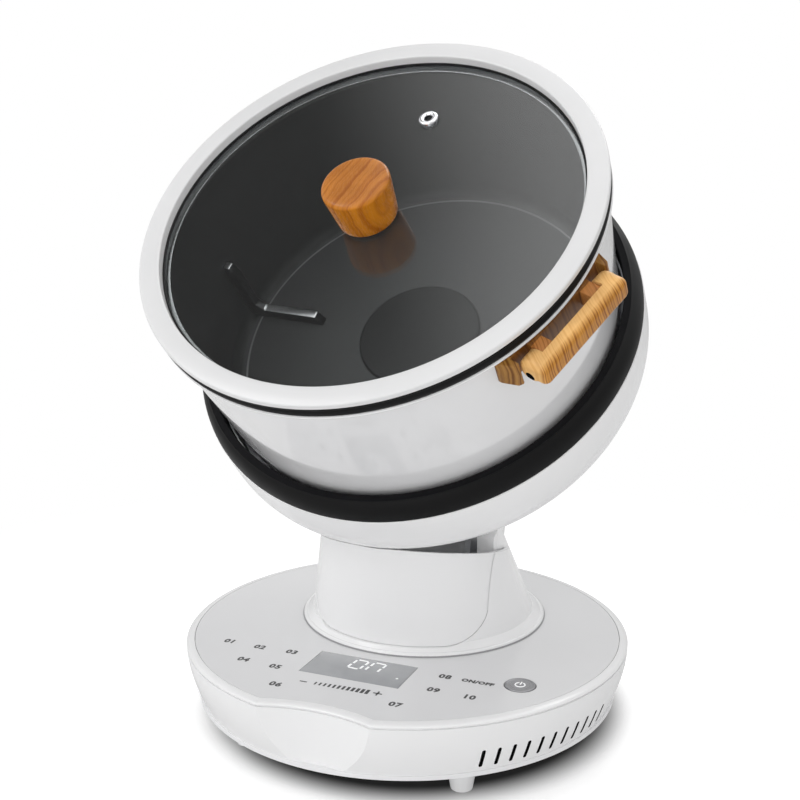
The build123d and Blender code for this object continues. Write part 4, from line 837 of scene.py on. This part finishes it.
# Knob: turned from warm brown wood, wider at the top, with rounded edges and a screw from below.
knob_outline = ([(0, -9.3), (17.6, -9.3), (18.6, -8.9), (19.1, -8.0), (19.6, -4), (21.6, 14.8), (21.7, 17.2)]
                + arc((19.2, 17.3), (2.5, 2.5), 0, 80, 8) + [(15, 20.15), (8, 20.4), (0, 20.5)])
knob = soften(turn("wooden_knob", knob_outline, 96), 0, 60)
knob_wood = wood("knob_wood", head_place, ((0.66, 0.235, 0.014), (0.55, 0.21, 0.04)), (("Z", 18.6, 20.2),),
                 330, 6.0, "X", 0.24, 0.4, ((0.7, 0.58, 0.45), (0.72, 0.58, 0.46)))
fit(settle(knob, head_place), "lid", "knob_wood", knob_wood, "knob")


# Studio: a pale floor, a white surround and four soft lamps, none of them part of the cooker. The
# floor shows the camera a painted contact shadow, a soft dark ring under the base, and fades to white away
# from it.
bpy.ops.object.select_all(action="DESELECT")
bpy.ops.mesh.primitive_plane_add(size=12)
floor = bpy.context.object
floor.name = "studio_floor"
floor_paint, tree, shader, coords = start_finish("studio_floor_paint", (0.82, 0.82, 0.82), 0.9)
# A dark ring round the base, drawn in the floor's colour: painted shadow.
shadow_centre, shadow_dark, shadow_end = (0, 0.014, 0), 0.129, 0.161
fade_start, fade_end = 0.25, 0.6
centred = add(tree, "VectorMath", {0: coords, 1: shadow_centre}, operation="SUBTRACT").outputs["Vector"]
away = add(tree, "VectorMath", {0: centred}, operation="LENGTH").outputs["Value"]
painted_shadow = add(tree, "MapRange", {"Value": away, "From Min": shadow_dark, "From Max": shadow_end,
                                 "To Min": 0.02, "To Max": 1.0}, interpolation_type="SMOOTHSTEP")
fade = add(tree, "MapRange", {"Value": away, "From Min": fade_start, "From Max": fade_end})
raised = add(tree, "VectorMath", {0: painted_shadow.outputs["Result"], 1: (1.5, 1.5, 1.5)}, operation="MULTIPLY")
soft = add(tree, "BsdfDiffuse", {"Color": raised.outputs["Vector"]})
plain = add(tree, "Emission", {"Color": painted_shadow.outputs["Result"], "Strength": 1.0})
near = add(tree, "MixShader", {0: 0.45, 1: plain.outputs["Emission"], 2: soft.outputs["BSDF"]})
far = add(tree, "Emission", {"Color": (1, 1, 1, 1), "Strength": 1.0})
seen = add(tree, "MixShader", {0: fade.outputs["Result"], 1: near.outputs["Shader"],
                               2: far.outputs["Emission"]})
path = add(tree, "LightPath")
both = add(tree, "MixShader", {0: path.outputs["Is Camera Ray"], 1: shader.outputs["BSDF"],
                               2: seen.outputs["Shader"]})
tree.links.new(both.outputs["Shader"], tree.nodes["Material Output"].inputs["Surface"])
floor.data.materials.append(floor_paint)


def lamp(name, place, size, power):
    """A large soft lamp aimed at the middle of the cooker."""
    bpy.ops.object.light_add(type="AREA", location=place)
    light = bpy.context.object
    light.name = name
    light.data.shape = "DISK"
    light.data.size = size
    light.data.energy = power
    light.rotation_euler = (Vector((0, 0, 0.2)) - light.location).to_track_quat("-Z", "Y").to_euler()


lamp("key_lamp", (-1.2, -1.2, 1.9), 1.2, 12.5)
lamp("fill_lamp", (1.5, -1.0, 1.3), 1.0, 1.5)
lamp("front_lamp", (-0.1, -1.7, 0.3), 1.2, 5.8)
lamp("top_lamp", (0.3, 1.1, 1.9), 1.2, 9)
world = bpy.data.worlds.new("white_surround")
bpy.context.scene.world = world
world.use_nodes = True
tree = world.node_tree
path = add(tree, "LightPath")
view = add(tree, "SeparateXYZ", {"Vector": add(tree, "TexCoord").outputs["Generated"]})
overhead = add(tree, "MapRange", {"Value": view.outputs["X"], "From Min": -0.43, "From Max": -0.29,
                                  "To Min": 0.2, "To Max": 1.6}, interpolation_type="SMOOTHSTEP")
high = add(tree, "MapRange", {"Value": view.outputs["Z"], "From Min": 0.65, "From Max": 0.8})
sides = add(tree, "MapRange", {"Value": view.outputs["Z"], "From Min": 0.1, "From Max": 0.5,
                               "To Min": 0.5, "To Max": 1.0})
mirrored = add(tree, "Mix", {0: high.outputs["Result"], 2: sides.outputs["Result"],
                             3: overhead.outputs["Result"]}).outputs[0]
through = add(tree, "Mix", {0: high.outputs["Result"], 2: 1.0, 3: overhead.outputs["Result"]}).outputs[0]
strength = add(tree, "MapRange", {"Value": view.outputs["Z"], "From Min": 0.0, "From Max": 0.7,
                                  "To Min": 0.95, "To Max": 0.5}).outputs["Result"]
for ray, level in (("Is Glossy Ray", mirrored), ("Is Transmission Ray", through), ("Is Camera Ray", 1.0)):
    strength = add(tree, "Mix", {0: path.outputs[ray], 2: strength, 3: level}).outputs[0]
tree.nodes["Background"].inputs["Color"].default_value = (1, 1, 1, 1)
tree.links.new(strength, tree.nodes["Background"].inputs["Strength"])
bpy.context.scene.view_settings.view_transform = "Standard"
